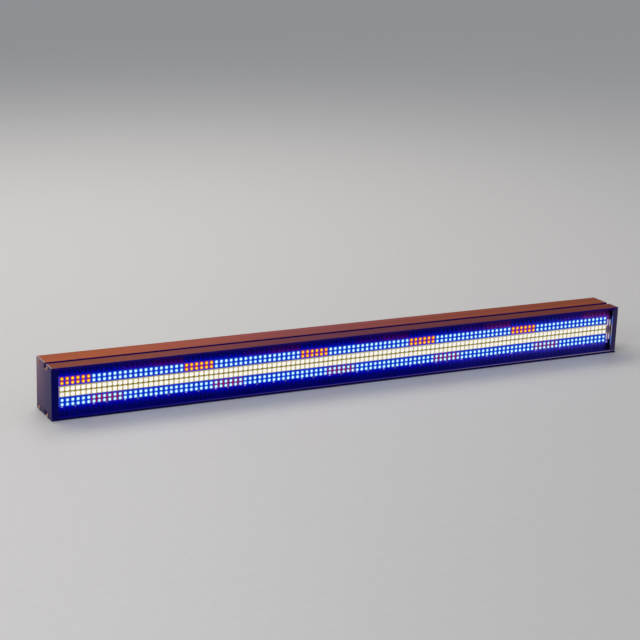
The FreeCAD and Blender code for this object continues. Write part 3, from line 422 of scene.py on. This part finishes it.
def circuit_board(name, mask, trace, gloss):
    """Solder mask over raised traces and ground fills."""
    s = Shader(name)
    gap = s.traces()
    weave = s.noise(700.0, 3.0)
    colour = s.blend(s.math("SUBTRACT", 1.0, gap), mask, trace)
    colour = s.blend(s.between(weave, 0.4, 0.7, 0.0, 0.3), colour, trace)
    s.set(base_color=colour, roughness=s.between(weave, 0.3, 0.7, gloss, gloss * 1.4))
    s.bump(gap, -0.04 * MM, 0.6).bump(weave, 0.01 * MM, 0.3)
    return s.material


def column_wave(s, x):
    """1 at each LED column and 0 half way between."""
    phase = s.math("MULTIPLY", x, 2 * math.pi / PITCH)
    return s.between(s.math("COSINE", phase), 1.0, -1.0)


def pixel_place(s, x):
    """0 to 1 along each run of four pixels, from the left-hand end."""
    return s.math("FRACT", s.math("DIVIDE", s.math("SUBTRACT", x, -GRID_END), PERIOD * PITCH))


def spilled_light(s):
    """The colour and level of LED light on the black parts beside the grid.

    It falls off from the outer rows, with a finger over each column above the grid and one
    between each two columns below it.
    """
    x, y, z = s.split()
    up = s.math("SUBTRACT", z, MIDDLE_Z)
    off = s.math("SUBTRACT", s.math("ABSOLUTE", up), GRID_HALF)
    above = s.between(up, -MM, MM)
    column = column_wave(s, x)

    near_above = s.all_of(s.math("POWER", s.between(off, 5.5 * MM, -MM), 2.0), 1.1)
    near_below = s.all_of(s.math("POWER", s.between(off, 9 * MM, -2 * MM), 1.8), 1.05)
    finger_above = s.all_of(s.math("POWER", column, 2.5),
                            s.math("POWER", s.between(off, 10 * MM, 3 * MM, 0.0, 0.53), 1.5),
                            s.between(off, MM, 4 * MM))
    finger_below = s.all_of(s.between(column, 1.0, 0.0),
                            s.between(off, 13 * MM, 6 * MM, 0.0, 0.16),
                            s.between(off, 2 * MM, 5 * MM))
    haze = s.between(s.noise(30.0, 1.0), 0.3, 0.7, 0.085, 0.115)
    total = s.math("ADD", haze,
                   s.math("ADD", s.between(above, 0.0, 1.0, near_below, near_above),
                          s.between(above, 0.0, 1.0, finger_below, finger_above)))
    ends = s.between(s.math("ABSOLUTE", x), 12 * MM - FIRST_X, 2 * MM - FIRST_X)
    reach = s.between(y, -19 * MM, -30 * MM, 1.0, 0.4)
    total = s.all_of(total, ends, reach)

    place = pixel_place(s, x)
    right = s.between(x, 0.10, 0.40)
    plain = s.blend(right, (0.0, 0.004, 1.0), (0.03, 0.035, 1.0))
    violet = s.blend(right, (0.045, 0.0, 0.76), (0.07, 0.02, 0.80))
    magenta = s.blend(right, (0.12, 0.0, 0.58), (0.32, 0.03, 0.58))
    over = s.blend(s.between(place, 0.47, 0.53), plain, violet)
    last = s.any_of(s.between(place, 0.72, 0.78), s.between(x, GRID_END - 2 * MM, GRID_END))
    over = s.blend(last, over, magenta)
    under = s.blend(right, (0.0, 0.003, 1.0), (0.06, 0.05, 1.0))
    return s.blend(above, under, over), total


def led_board(name):
    """Black solder mask over traces, with the LEDs' light on it."""
    s = Shader(name)
    x, _, z = s.split()
    gap = s.traces()
    weave = s.noise(700.0, 3.0)
    s.set(base_color=s.blend(gap, (0.006, 0.006, 0.008), (0.003, 0.003, 0.004)),
          specular_ior_level=0.01, roughness=s.between(weave, 0.3, 0.7, 0.35, 0.5))
    s.bump(gap, -0.04 * MM, 0.6).bump(weave, 0.01 * MM, 0.3)

    tint, level = spilled_light(s)
    up = s.math("SUBTRACT", z, MIDDLE_Z)
    off = s.math("ABSOLUTE", up)
    column = column_wave(s, x)
    place = pixel_place(s, x)
    boards_end = GRID_END + 1.5 * MM
    among = s.all_of(s.between(off, GRID_HALF + MM, GRID_HALF),
                     s.between(x, boards_end, GRID_END))
    tint = s.blend(among, tint, (0.0, 0.030, 0.62))

    rgb_middle = GRID_HALF - RGB_ROWS_HALF
    rows_apart = s.between(s.math("ABSOLUTE", s.math("SUBTRACT", off, rgb_middle)),
                           0.9 * MM, 0.4 * MM)
    # Painted red light: outlines round the lower red runs' packages, and crimson between the upper
    # rows by the orange runs.
    in_red = s.all_of(s.between(place, 0.249, 0.251), s.between(place, 0.501, 0.499),
                      s.between(up, -9.2 * MM, -9.6 * MM),
                      s.between(up, -GRID_HALF - MM, -GRID_HALF - 0.4 * MM))
    lines = s.any_of(s.between(column, 0.20, 0.05), rows_apart)
    tint = s.blend(s.all_of(in_red, lines), tint, (0.36, 0.0, 0.010))
    crimson = s.all_of(rows_apart, s.between(up, 0.0, MM), column,
                       s.between(place, 0.251, 0.249))
    tint = s.blend(crimson, tint, (0.50, 0.0, 0.06))

    white_edge, seam_edge = 7.6 * MM, 0.6 * MM
    white_rows = s.between(off, white_edge + MM, white_edge)
    seam = s.between(off, seam_edge + 0.4 * MM, seam_edge)
    olive = s.blend(s.between(column, 0.2, 0.5), (0.10, 0.07, 0.01), (0.30, 0.23, 0.012))
    cream = s.blend(s.between(x, -0.3, 0.2), (0.50, 0.38, 0.09), (0.58, 0.52, 0.30))
    tint = s.blend(white_rows, tint, s.blend(seam, cream, olive))
    left_edge = s.all_of(s.between(x, board_low.x + 0.6 * MM, board_low.x + 0.3 * MM),
                         s.between(off, GRID_HALF + 2 * MM, GRID_HALF))
    tint = s.blend(left_edge, tint, s.blend(white_rows, (0.05, 0.09, 0.50), (0.36, 0.32, 0.30)))

    # A lilac patch of painted LED light at the boards' right end, below the grid.
    pad_left, pad_right, soft = boards_end, boards_end + 4.5 * MM, 0.3 * MM
    pad_top, pad_bottom = -GRID_HALF + MM, -GRID_HALF - 2.3 * MM
    pad = s.all_of(s.between(x, pad_left, pad_left + soft),
                   s.between(x, pad_right, pad_right - soft),
                   s.between(up, pad_top, pad_top - soft),
                   s.between(up, pad_bottom, pad_bottom + soft))
    tint = s.blend(pad, tint, (0.24, 0.22, 0.62))
    s.set(emission_color=tint,
          emission_strength=s.any_of(level, among, white_rows, left_edge, pad))
    return s.material


def lit_block(name, colour, glow, strength, front):
    """Moulded plastic beside the LEDs, lit on the faces that look back along the grid."""
    s = Shader(name)
    across, _, _ = s.normal()
    grain = s.noise(1100.0, 3.0)
    _, y, _ = s.split()
    rim = s.between(y, BOARD_FACE - 1.4 * MM, BOARD_FACE - 2.2 * MM, 0.3, 1.0)
    turned = s.between(across, 0.0, -0.8, strength * front, strength)
    s.set(base_color=s.blend(s.between(grain, 0.35, 0.7), colour, scaled(colour, 0.8)),
          roughness=s.between(grain, 0.3, 0.7, 0.4, 0.55), emission_color=(*glow, 1.0),
          emission_strength=s.all_of(rim, turned))
    s.bump(grain, 0.03 * MM, 0.4)
    return s.material


def lit_screw(name, colour, above, below):
    """A dark screw on the LED board, lit by the LEDs beside it."""
    s = Shader(name)
    scratch = s.noise(1.0, 3.0, s.stretch(200, 900, 2200), 0.6)
    _, _, z = s.split()
    tint = s.blend(s.between(z, MIDDLE_Z - MM, MIDDLE_Z + MM), below, above)
    s.set(base_color=s.blend(scratch, colour, scaled(colour, 0.7)), metallic=1.0,
          roughness=s.between(scratch, 0.3, 0.7, 0.3, 0.45), emission_color=tint,
          emission_strength=s.between(scratch, 0.3, 0.7, 0.8, 1.2))
    return s.material


def lit_plastic(name, colour, strength):
    """A small plastic part that shines, a little unevenly."""
    s = Shader(name)
    grain = s.noise(1500.0, 2.0)
    s.set(base_color=s.blend(grain, colour, scaled(colour, 0.8)), roughness=0.4,
          emission_color=(*colour, 1.0),
          emission_strength=s.between(grain, 0.3, 0.7, strength * 0.9, strength * 1.1))
    return s.material


def lit_resin(name, rim, core, strength, spread=(0.35, 0.95), base=(0.6, 0.6, 0.6)):
    """Resin lit from below: the core colour in the middle, the rim colour at its edge."""
    s = Shader(name)
    uv = s.add("UVMap", uv_map="package").outputs[0]
    u, v, _ = s.split(uv)
    radius = s.math("SQRT", s.math("ADD", s.math("POWER", u, 2.0), s.math("POWER", v, 2.0)))
    away = s.between(radius, *spread)
    grain = s.noise(2400.0, 2.0)
    glow = s.blend(away, core, rim)
    level = s.all_of(s.between(away, 0.0, 1.0, strength, strength * 0.25),
                     s.between(grain, 0.3, 0.7, 0.9, 1.1))
    s.set(base_color=s.blend(s.between(grain, 0.3, 0.7), base, rim), roughness=0.22,
          emission_color=glow, emission_strength=level)
    return s.material


def glowing_body(name, colour, glow, strength):
    """An LED package's plastic, lit through from inside near its rim."""
    s = Shader(name)
    grain = s.noise(1800.0, 2.0)
    uv = s.add("UVMap", uv_map="package").outputs[0]
    u, v, _ = s.split(uv)
    reach = s.any_of(s.math("ABSOLUTE", u), s.math("ABSOLUTE", v))
    level = s.between(reach, 0.8, 1.3, strength, strength * 0.25)
    s.set(base_color=s.blend(s.between(grain, 0.3, 0.7), colour, scaled(colour, 0.85)),
          roughness=0.4, emission_color=(*glow, 1.0), emission_strength=level)
    s.bump(grain, 0.02 * MM, 0.4)
    return s.material


# ---------------------------------------------------------------- mesh building


def finish_piece(name, build, materials, body="batten", replaced=()):
    """Turn a bmesh into a piece that rides on a body."""
    bmesh.ops.recalc_face_normals(build, faces=build.faces)
    mesh = bpy.data.meshes.new(name)
    build.to_mesh(mesh)
    build.free()
    for material in materials:
        mesh.materials.append(material)
    mesh.shade_smooth()
    mesh.set_sharp_from_angle(angle=math.radians(35))
    piece = bpy.data.objects.new(name, mesh)
    bpy.context.scene.collection.objects.link(piece)
    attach(piece, body)
    if replaced:
        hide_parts(*replaced)
    return piece


def skin(build, loops, kinds, uv=None, half=1.0):
    """Join rings of (vertex, u, v) into a closed skin; kinds are the faces' material indices."""
    faces = []
    for lower, upper, kind in zip(loops, loops[1:], kinds[1:]):
        for i in range(len(lower)):
            j = (i + 1) % len(lower)
            faces.append(((lower[i], lower[j], upper[j], upper[i]), kind))
    faces.append((loops[0][::-1], kinds[0]))
    faces.append((loops[-1], kinds[-1]))
    for corners, kind in faces:
        face = build.faces.new([corner[0] for corner in corners])
        face.material_index = kind
        if uv:
            for loop, corner in zip(face.loops, corners):
                loop[uv].uv = (corner[1] / half, corner[2] / half)


def squarish(angle, half, sharpness):
    """A point of a rounded square; sharpness 2 is a circle."""
    c, s = math.cos(angle), math.sin(angle)
    scale = (abs(c) ** sharpness + abs(s) ** sharpness) ** (-1 / sharpness)
    return half * scale * c, half * scale * s


def lathe(build, origin, outward, profile, count=32, outline=None):
    """Turn a profile of (radius, height) pairs round an axis; outline shapes a ring's radius."""
    axis = Vector(outward)
    side = Vector((0, 0, 1)).cross(axis).normalized()
    up = axis.cross(side)
    loops = []
    for index, (radius, height) in enumerate(profile):
        loop = []
        for i in range(count):
            angle = 2 * math.pi * i / count
            r = radius * (outline(index, angle) if outline else 1.0)
            u, v = r * math.cos(angle), r * math.sin(angle)
            loop.append((build.verts.new(Vector(origin) + side * u + up * v + axis * height),
                         u, v))
        loops.append(loop)
    skin(build, loops, [0] * len(loops))


def brick(build, low, high, bevel, kind=0):
    """A box with bevelled edges; kind is its faces' material index."""
    low, high = Vector(low), Vector(high)
    before = len(build.faces)
    size = high - low
    made = bmesh.ops.create_cube(build, size=1.0)["verts"]
    for vert in made:
        vert.co = Vector(l + (c + 0.5) * s for l, c, s in zip(low, vert.co, size))
    edges = list({edge for vert in made for edge in vert.link_edges})
    bmesh.ops.bevel(build, geom=edges, offset=bevel, segments=2, affect="EDGES")
    build.faces.ensure_lookup_table()
    for face in build.faces[before:]:
        face.material_index = kind


def carve(piece, cutter):
    """Cut a bmesh out of a piece."""
    mesh = bpy.data.meshes.new("cutter")
    cutter.to_mesh(mesh)
    cutter.free()
    tool = bpy.data.objects.new("cutter", mesh)
    bpy.context.scene.collection.objects.link(tool)
    modifier = piece.modifiers.new("cut", "BOOLEAN")
    modifier.operation = "DIFFERENCE"
    modifier.solver = "EXACT"
    modifier.object = tool
    shaped = piece.evaluated_get(bpy.context.evaluated_depsgraph_get())
    piece.data = bpy.data.meshes.new_from_object(shaped)
    piece.modifiers.clear()
    bpy.data.objects.remove(tool)


def islands(node):
    """The box of each separate solid in a CAD node."""
    build = bmesh.new()
    build.from_mesh(nodes[node].data)
    bmesh.ops.remove_doubles(build, verts=build.verts, dist=MM / 1000)
    seen, boxes = set(), []
    for start in build.verts:
        if start in seen:
            continue
        seen.add(start)
        stack, island = [start], []
        while stack:
            vert = stack.pop()
            island.append(vert.co.copy())
            for edge in vert.link_edges:
                other = edge.other_vert(vert)
                if other not in seen:
                    seen.add(other)
                    stack.append(other)
        boxes.append((Vector(map(min, *island)), Vector(map(max, *island))))
    build.free()
    return boxes


# ---------------------------------------------------------------- light-emitting packages

# Rings of a package: half size, sharpness and height in mm, then body (0) or resin (1).
RGB_HALF = 2.7 * MM
RGB_RINGS = (
    (2.70, 9, 0.00, 0), (2.70, 9, 1.32, 0), (2.58, 8, 1.50, 0), (2.42, 2.3, 1.50, 0),
    (2.32, 2.3, 1.24, 1), (1.60, 2, 1.32, 1), (0.80, 2, 1.36, 1),
)
WHITE_HALF = 3.4 * MM
WHITE_RINGS = (
    (3.40, 12, 0.00, 0), (3.40, 12, 1.32, 0), (3.30, 10, 1.50, 0), (2.98, 7, 1.50, 0),
    (2.88, 7, 1.26, 1), (2.10, 5, 1.34, 1), (1.00, 4, 1.38, 1),
)
ORANGE, RED, BLUE = 0, 1, 2
PACKAGE_SIDES = 16


def upper_colour(column):
    """The first pixel of every four is orange in the upper rows."""
    return ORANGE if column % PERIOD // PIXEL == 0 else BLUE


def lower_colour(column):
    """The second pixel of every four stands on red-lit board in the lower rows."""
    return RED if column % PERIOD // PIXEL == 1 else BLUE


def make_packages(name, node, rings, half, kinds, colour_of):
    """Every package of a CAD node; kinds holds a (body, resin) pair for each colour."""
    build = bmesh.new()
    uv = build.loops.layers.uv.new("package")
    low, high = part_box(node)
    for row in (low.z + half, high.z - half):
        for column in range(COLUMNS):
            middle = FIRST_X + column * PITCH
            first = 2 * colour_of(column)
            loops = []
            for size, sharpness, height, _ in rings:
                loop = []
                for i in range(PACKAGE_SIDES):
                    angle = 2 * math.pi * (i + 0.5) / PACKAGE_SIDES
                    u, v = squarish(angle, size * MM, sharpness)
                    point = (middle + u, high.y - height * MM, row + v)
                    loop.append((build.verts.new(point), u, v))
                loops.append(loop)
            skin(build, loops, [first + ring[3] for ring in rings], uv, half)
    finish_piece(name, build, [m for kind in kinds for m in kind], replaced=(node,))


def make_board_parts(material, end_material):
    """Small capacitors under the LED columns, with soldered ends, where nothing else stands."""
    build = bmesh.new()
    taken = [(low.x + high.x) / 2
             for low, high in islands("pixel_chips") + islands("led_board_screws")]
    half, end, height = 0.8 * MM, 0.3 * MM, 0.45 * MM
    half_z, inset, bevel, clearance = 0.4 * MM, 0.03 * MM, 0.05 * MM, 3 * MM
    parts = ((-half, -half + end, 0.0, 1), (-half + end, half - end, inset, 0),
             (half - end, half, 0.0, 1))
    for column in range(COLUMNS):
        x = FIRST_X + column * PITCH + (0.9 if column % 2 else -0.7) * MM
        if min(abs(x - other) for other in taken) < clearance:
            continue
        z = board_low.z + (1.5 + 0.35 * (column % 3)) * MM
        for left, right, sunk, kind in parts:
            brick(build, (x + left, BOARD_FACE - height + sunk, z - half_z + sunk),
                  (x + right, BOARD_FACE, z + half_z - sunk), bevel, kind)
    finish_piece("board_capacitors", build, [material, end_material])


def make_header_pins(material):
    """Square pins in the mouths of the two feed headers."""
    build = bmesh.new()
    half, count, bevel = 0.32 * MM, 4, 0.1 * MM
    front_gap, back_gap = 0.9 * MM, 0.6 * MM
    for low, high in islands("feed_headers"):
        x = (low.x + high.x) / 2
        for i in range(count):
            z = low.z + (high.z - low.z) * (i + 1) / (count + 1)
            brick(build, (x - half, low.y + front_gap, z - half),
                  (x + half, high.y - back_gap, z + half), bevel)
    finish_piece("header_pins", build, [material])


# ---------------------------------------------------------------- screws, cap, buttons, display


def hexagon(angle):
    """How far a hexagon's outline stands out, with its corners at 1."""
    folded = (angle + math.pi / 6) % (math.pi / 3) - math.pi / 6
    return math.cos(math.pi / 6) / math.cos(folded)


# A pan head: share of its radius, share of its rise, and whether the ring is a hexagon.
HEAD = (
    (1.00, 0.00, False), (1.00, 0.30, False), (0.96, 0.60, False), (0.84, 0.86, False),
    (0.66, 0.99, False), (0.58, 1.00, True), (0.54, 0.92, True), (0.54, 0.35, True),
    (0.20, 0.22, False),
)
SHANK = 0.52


def make_screws(name, node, axis, seat, material):
    """Socket screws in place of the CAD ones, whose heads stand on the plane at seat."""
    outward = Vector(axis)
    along = max(range(3), key=lambda i: abs(outward[i]))
    build = bmesh.new()
    for low, high in islands(node):
        ends = (high, low) if outward[along] > 0 else (low, high)
        rise = abs(ends[0][along] - seat)
        depth = abs(ends[1][along] - seat)
        radius = (high.z - low.z) / 2
        place = (low + high) / 2
        place[along] = seat
        stem = SHANK * radius
        profile = [(stem * 0.6, -depth), (stem, -depth + 0.4 * stem), (stem, 0.0)]
        profile += [(share * radius, up * rise) for share, up, _ in HEAD]
        hexed = [False] * 3 + [ring[2] for ring in HEAD]
        lathe(build, place, outward, profile, 24,
              lambda index, angle, flags=hexed: hexagon(angle) if flags[index] else 1.0)
    finish_piece(name, build, [material], replaced=(node,))


def make_fuse_cap(material):
    """A knurled cap with a coin slot, over the fuse."""
    low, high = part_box("fuse_cap")
    x, z = (low.x + high.x) / 2, (low.z + high.z) / 2
    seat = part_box("fuse_holder")[1].y
    radius = (high.x - low.x) / 2
    build = bmesh.new()
    rise = high.y - seat
    knurls, knurl_depth, knurled_rings = 36, 0.02, (3, 4)
    profile = [(0.45 * radius, low.y - seat), (0.45 * radius, 0.3 * MM),
               (0.94 * radius, 0.32 * MM), (0.98 * radius, 0.7 * MM),
               (0.98 * radius, rise - 1.0 * MM), (0.92 * radius, rise - 0.5 * MM),
               (0.84 * radius, rise - 0.05 * MM), (0.78 * radius, rise)]
    lathe(build, (x, seat, z), (0, 1, 0), profile, 2 * knurls,
          lambda index, angle: (1 + knurl_depth * math.cos(knurls * angle)
                                if index in knurled_rings else 1.0))
    piece = finish_piece("fuse_cap_knurled", build, [material],
                         "fuse_cap", ("fuse_cap",))
    cutter = bmesh.new()
    half, deep = 0.6 * MM, 1.2 * MM
    brick(cutter, (x - radius, high.y - deep, z - half),
          (x + radius, high.y + deep, z + half), 0.1 * MM)
    carve(piece, cutter)


# Raised signs on the button caps: corners of flat shapes, as shares of the cap's radius.
SIGNS = {
    "mode": (((-0.45, 0.22), (0.45, 0.22), (0.45, 0.38), (-0.45, 0.38)),
             ((-0.45, -0.08), (0.45, -0.08), (0.45, 0.08), (-0.45, 0.08)),
             ((-0.45, -0.38), (0.45, -0.38), (0.45, -0.22), (-0.45, -0.22))),
    "up": (((-0.45, -0.3), (0.45, -0.3), (0.0, 0.45)),),
    "down": (((0.45, 0.3), (-0.45, 0.3), (0.0, -0.45)),),
    "enter": (((-0.28, -0.28), (0.28, -0.28), (0.28, 0.28), (-0.28, 0.28)),),
}


def make_button(sign, material, mark):
    """A dished cap with a moulded sign, a flange behind the panel and a stem."""
    node = f"menu_button_{sign}"
    low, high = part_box(node)
    x, z = (low.x + high.x) / 2, (low.z + high.z) / 2
    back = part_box("rear_panel")[0].y
    cap, flange, stem = 3.5 * MM, (high.x - low.x) / 2, 1.6 * MM
    play, gauge, dish = 0.3 * MM, 1.0 * MM, 0.35 * MM
    top = high.y - PANEL_FACE
    inner = back - play - PANEL_FACE
    profile = [(stem, low.y - PANEL_FACE), (stem, inner - gauge), (flange, inner - gauge),
               (flange, inner), (cap, inner), (cap, top - 0.45 * MM),
               (cap - 0.15 * MM, top - 0.12 * MM), (cap - 0.5 * MM, top),
               (cap - 0.9 * MM, top - 0.08 * MM), (cap * 0.5, top - dish * 0.9),
               (cap * 0.2, top - dish)]
    build = bmesh.new()
    lathe(build, (x, PANEL_FACE, z), (0, 1, 0), profile, 40)
    root, crown = 0.5 * MM, 0.02 * MM
    for outline in SIGNS[sign]:
        loops = [[(build.verts.new((x - u * cap, high.y - depth, z + v * cap)), u, v)
                  for u, v in outline] for depth in (root, crown)]
        skin(build, loops, (1, 1))
    finish_piece(f"{node}_cap", build, [material, mark], node, (node,))


# Segments of a digit, in widths and heights from its middle, and the segments of each digit.
BARS = {
    "top": (0, 1, True), "middle": (0, 0, True), "bottom": (0, -1, True),
    "upper_left": (-1, 0.5, False), "upper_right": (1, 0.5, False),
    "lower_left": (-1, -0.5, False), "lower_right": (1, -0.5, False),
}
ZERO = ("top", "bottom", "upper_left", "upper_right", "lower_left", "lower_right")
ONE = ("upper_right", "lower_right")


def make_digits(lit, unlit):
    """Three seven-segment digits behind the lens; seen from behind, X runs to the left."""
    low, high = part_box("display_lens")
    build = bmesh.new()
    middle = (low + high) / 2
    wide, tall, thick, bar = 3.4 * MM, 5.6 * MM, 0.3 * MM, 0.5 * MM
    spacing, inset, bevel = 11.5 * MM, 0.05 * MM, 0.12 * MM
    for place, digit in enumerate((ZERO, ZERO, ONE)):
        x = middle.x + (1 - place) * spacing
        for label, (across, up, flat) in BARS.items():
            cx, cz = x - across * wide, middle.z + up * tall
            half_x = wide * 0.8 if flat else bar
            half_z = bar if flat else tall * 0.42
            brick(build, (cx - half_x, low.y + inset, cz - half_z),
                  (cx + half_x, low.y + thick, cz + half_z), bevel,
                  0 if label in digit else 1)
    finish_piece("display_digits", build, [lit, unlit])


# ---------------------------------------------------------------- looks of the record's slots

LOOKS = {
    "anodised_aluminium": anodised_extrusion(),
    "powder_coat": powder_coat("powder_coat"),
    "rear_paint": plastic("rear_paint", (0.020, 0.020, 0.022), 0.5, 800.0),
    "screw_steel": metal("screw_steel", (0.62, 0.60, 0.58), 0.28),
    "black_screw": metal("black_screw", (0.055, 0.052, 0.052), 0.36),
    "clear_pane": lit_pane("clear_pane", (0.010, 0.012, 0.060)),
    "board_black": led_board("board_black"),
    # The ceramic chips glow lilac: painted LED light on parts that are no lamp.
    "chip_ceramic": lit_plastic("chip_ceramic", (0.26, 0.17, 0.44), 1.5),
    "chip_black": plastic("chip_black", (0.015, 0.015, 0.017), 0.42),
    "pad_silicone": plastic("pad_silicone", (0.45, 0.48, 0.52), 0.7, 400.0),
    "header_white": lit_block("header_white", (0.10, 0.08, 0.11), (0.62, 0.52, 0.80), 0.9, 0.12),
    "socket_dark": lit_block("socket_dark", (0.03, 0.02, 0.03), (0.14, 0.075, 0.18), 0.9, 0.7),
    "supply_steel": metal("supply_steel", (0.58, 0.59, 0.60), 0.34),
    "board_green": circuit_board("board_green", (0.012, 0.09, 0.035), (0.03, 0.15, 0.06), 0.3),
    "ferrite": plastic("ferrite", (0.05, 0.05, 0.055), 0.6, 500.0),
    "can_sleeve": plastic("can_sleeve", (0.02, 0.03, 0.07), 0.3),
    "sink_aluminium": metal("sink_aluminium", (0.70, 0.71, 0.72), 0.3),
    "connector_black": plastic("connector_black", (0.014, 0.014, 0.016), 0.38),
    "connector_blue": plastic("connector_blue", (0.025, 0.095, 0.36), 0.36),
    "connector_grey": plastic("connector_grey", (0.36, 0.37, 0.38), 0.38, lift=1.15),
    "contact_metal": metal("contact_metal", (0.78, 0.66, 0.42), 0.22),
    "brass_parts": metal("brass_parts", (0.74, 0.60, 0.34), 0.26),
    "latch_steel": metal("latch_steel", (0.66, 0.66, 0.67), 0.24),
    "cartridge_glass": plastic("cartridge_glass", (0.55, 0.60, 0.60), 0.12),
    "display_dark": plastic("display_dark", (0.010, 0.010, 0.012), 0.5),
    "display_lens": clear_sheet("display_lens", (0.03, 0.03, 0.035), 0.45, 0.04),
    "button_rubber": plastic("button_rubber", (0.030, 0.030, 0.033), 0.62, 700.0),
    "lead_sleeve": plastic("lead_sleeve", (0.05, 0.05, 0.06), 0.4),
}
for node in nodes.values():
    for spot in node.material_slots:
        if spot.material.name.split(".")[0] in LOOKS:
            spot.material = LOOKS[spot.material.name.split(".")[0]]

# ---------------------------------------------------------------- pieces

# Body and resin of each kind of package. The red runs are red only in the painted red light on the
# board around them: their resin stays pale blue.
orange = (glowing_body("orange_body", (0.20, 0.02, 0.02), (0.75, 0.010, 0.045), 0.75),
          lit_resin("orange_resin", (1.0, 0.09, 0.01), (1.0, 0.86, 0.0), 1.1,
                    base=(0.5, 0.25, 0.0)))
red = (glowing_body("red_body", (0.06, 0.02, 0.16), (0.05, 0.04, 0.62), 0.7),
       lit_resin("red_resin", (0.10, 0.50, 1.0), (0.62, 0.98, 1.0), 1.1, (0.4, 0.95)))
blue = (glowing_body("blue_body", (0.03, 0.06, 0.30), (0.0, 0.09, 0.80), 0.8),
        lit_resin("blue_resin", (0.08, 0.50, 1.0), (0.66, 0.99, 1.0), 1.15, (0.4, 0.95)))
white = (glowing_body("white_body", (0.30, 0.27, 0.16), (0.62, 0.54, 0.28), 0.75),
         lit_resin("white_resin", (0.92, 0.80, 0.50), (0.80, 0.80, 0.78), 1.0, (0.88, 1.20),
                   (0.35, 0.35, 0.34)))

make_packages("rgb_packages_upper", "rgb_leds_upper", RGB_RINGS, RGB_HALF,
              (orange, red, blue), upper_colour)
make_packages("rgb_packages_lower", "rgb_leds_lower", RGB_RINGS, RGB_HALF,
              (orange, red, blue), lower_colour)
make_packages("white_packages", "white_leds", WHITE_RINGS, WHITE_HALF,
              (white,), lambda column: 0)
make_board_parts(LOOKS["chip_black"], LOOKS["black_screw"])
make_header_pins(LOOKS["contact_metal"])

plate_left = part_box("end_plate_left")[0].x
plate_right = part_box("end_plate_right")[1].x
board_screw = lit_screw("board_screw", (0.055, 0.052, 0.052), (0.0, 0.0, 0.16),
                        (0.085, 0.060, 0.22))
make_screws("board_screws", "led_board_screws", (0, -1, 0), BOARD_FACE,
            board_screw)
make_screws("panel_screws", "rear_panel_screws", (0, 1, 0), PANEL_FACE,
            LOOKS["black_screw"])
make_screws("flange_screws", "connector_screws", (0, 1, 0), PANEL_FACE + FLANGE_GAUGE,
            LOOKS["black_screw"])
# The end plates' screws: steel coloured copper-brown all over, a painted warm reflection.
screw_with_painted_warm_reflection = metal("screw_with_painted_warm_reflection", (0.56, 0.33, 0.23), 0.3)
make_screws("plate_screws_left", "end_screws_left", (-1, 0, 0), plate_left,
            screw_with_painted_warm_reflection)
make_screws("plate_screws_right", "end_screws_right", (1, 0, 0), plate_right,
            screw_with_painted_warm_reflection)
make_fuse_cap(LOOKS["connector_black"])
sign_paint = plastic("sign_paint", (0.62, 0.62, 0.60), 0.5)
for sign in SIGNS:
    make_button(sign, LOOKS["button_rubber"], sign_paint)
make_digits(lit_plastic("digit_lit", (1.0, 0.10, 0.04), 2.2),
            plastic("digit_unlit", (0.05, 0.012, 0.010), 0.4))

# ---------------------------------------------------------------- floor, light and camera


def add_floor():
    """A plain pale floor, far wider than the batten."""
    build = bmesh.new()
    half_width = 12
    bmesh.ops.create_grid(build, x_segments=8, y_segments=8, size=half_width)
    mesh = bpy.data.meshes.new("floor")
    build.to_mesh(mesh)
    build.free()
    floor = bpy.data.objects.new("floor", mesh)
    bpy.context.scene.collection.objects.link(floor)
    floor.location.z = -0.1 * MM  # just under the base, so that the two faces don't coincide
    s = Shader("floor")
    grain = s.noise(90.0, 4.0)
    s.set(base_color=s.blend(grain, (0.74, 0.74, 0.75), (0.80, 0.80, 0.80)), roughness=0.5)
    s.bump(grain, 0.1 * MM, 0.3)
    mesh.materials.append(s.material)


def add_softbox(name, place, size, power, colour):
    """A rectangular light that faces the batten's middle."""
    light = bpy.data.lights.new(name, "AREA")
    light.shape = "RECTANGLE"
    light.size, light.size_y = size
    light.energy = power
    light.color = colour
    lamp = bpy.data.objects.new(name, light)
    bpy.context.scene.collection.objects.link(lamp)
    lamp.location = place
    aim = Vector((0, 0, 50 * MM)) - Vector(place)
    lamp.rotation_euler = aim.to_track_quat("-Z", "Y").to_euler()


def add_camera(place, azimuth, elevation, roll, lens, shift):
    """A camera turned by azimuth from looking along +Y, then tipped down and rolled."""
    a, e, r = math.radians(azimuth), math.radians(elevation), math.radians(roll)
    back = Vector((math.sin(a) * math.cos(e), -math.cos(a) * math.cos(e), math.sin(e)))
    right = Vector((math.cos(a), math.sin(a), 0))
    up = back.cross(right)
    across = right * math.cos(r) + up * math.sin(r)
    above = up * math.cos(r) - right * math.sin(r)
    data = bpy.data.cameras.new("camera")
    data.lens = lens
    data.sensor_width = 36
    data.dof.use_dof = False
    data.shift_x, data.shift_y = shift
    camera = bpy.data.objects.new("camera", data)
    bpy.context.scene.collection.objects.link(camera)
    turn = Matrix((across, above, back)).transposed().to_4x4()
    camera.matrix_world = Matrix.Translation(Vector(place)) @ turn
    bpy.context.scene.camera = camera


add_floor()
world = bpy.data.worlds.new("studio")
world.use_nodes = True
background = world.node_tree.nodes["Background"]
background.inputs["Color"].default_value = (0.80, 0.82, 0.86, 1)
background.inputs["Strength"].default_value = 0.42
bpy.context.scene.world = world
bpy.context.scene.view_settings.view_transform = "Standard"
add_softbox("key", (-0.5, 1.6, 2.2), (3.0, 1.2), 34, (1.0, 0.92, 0.82))
add_softbox("fill", (-2.6, -1.4, 1.5), (1.6, 1.6), 22, (0.95, 0.94, 1.0))
add_camera(place=(-1.16635, -2.16157, 0.77086), azimuth=-27.278, elevation=15.436, roll=1.944,
           lens=91.53, shift=(0.0, 0.0003))
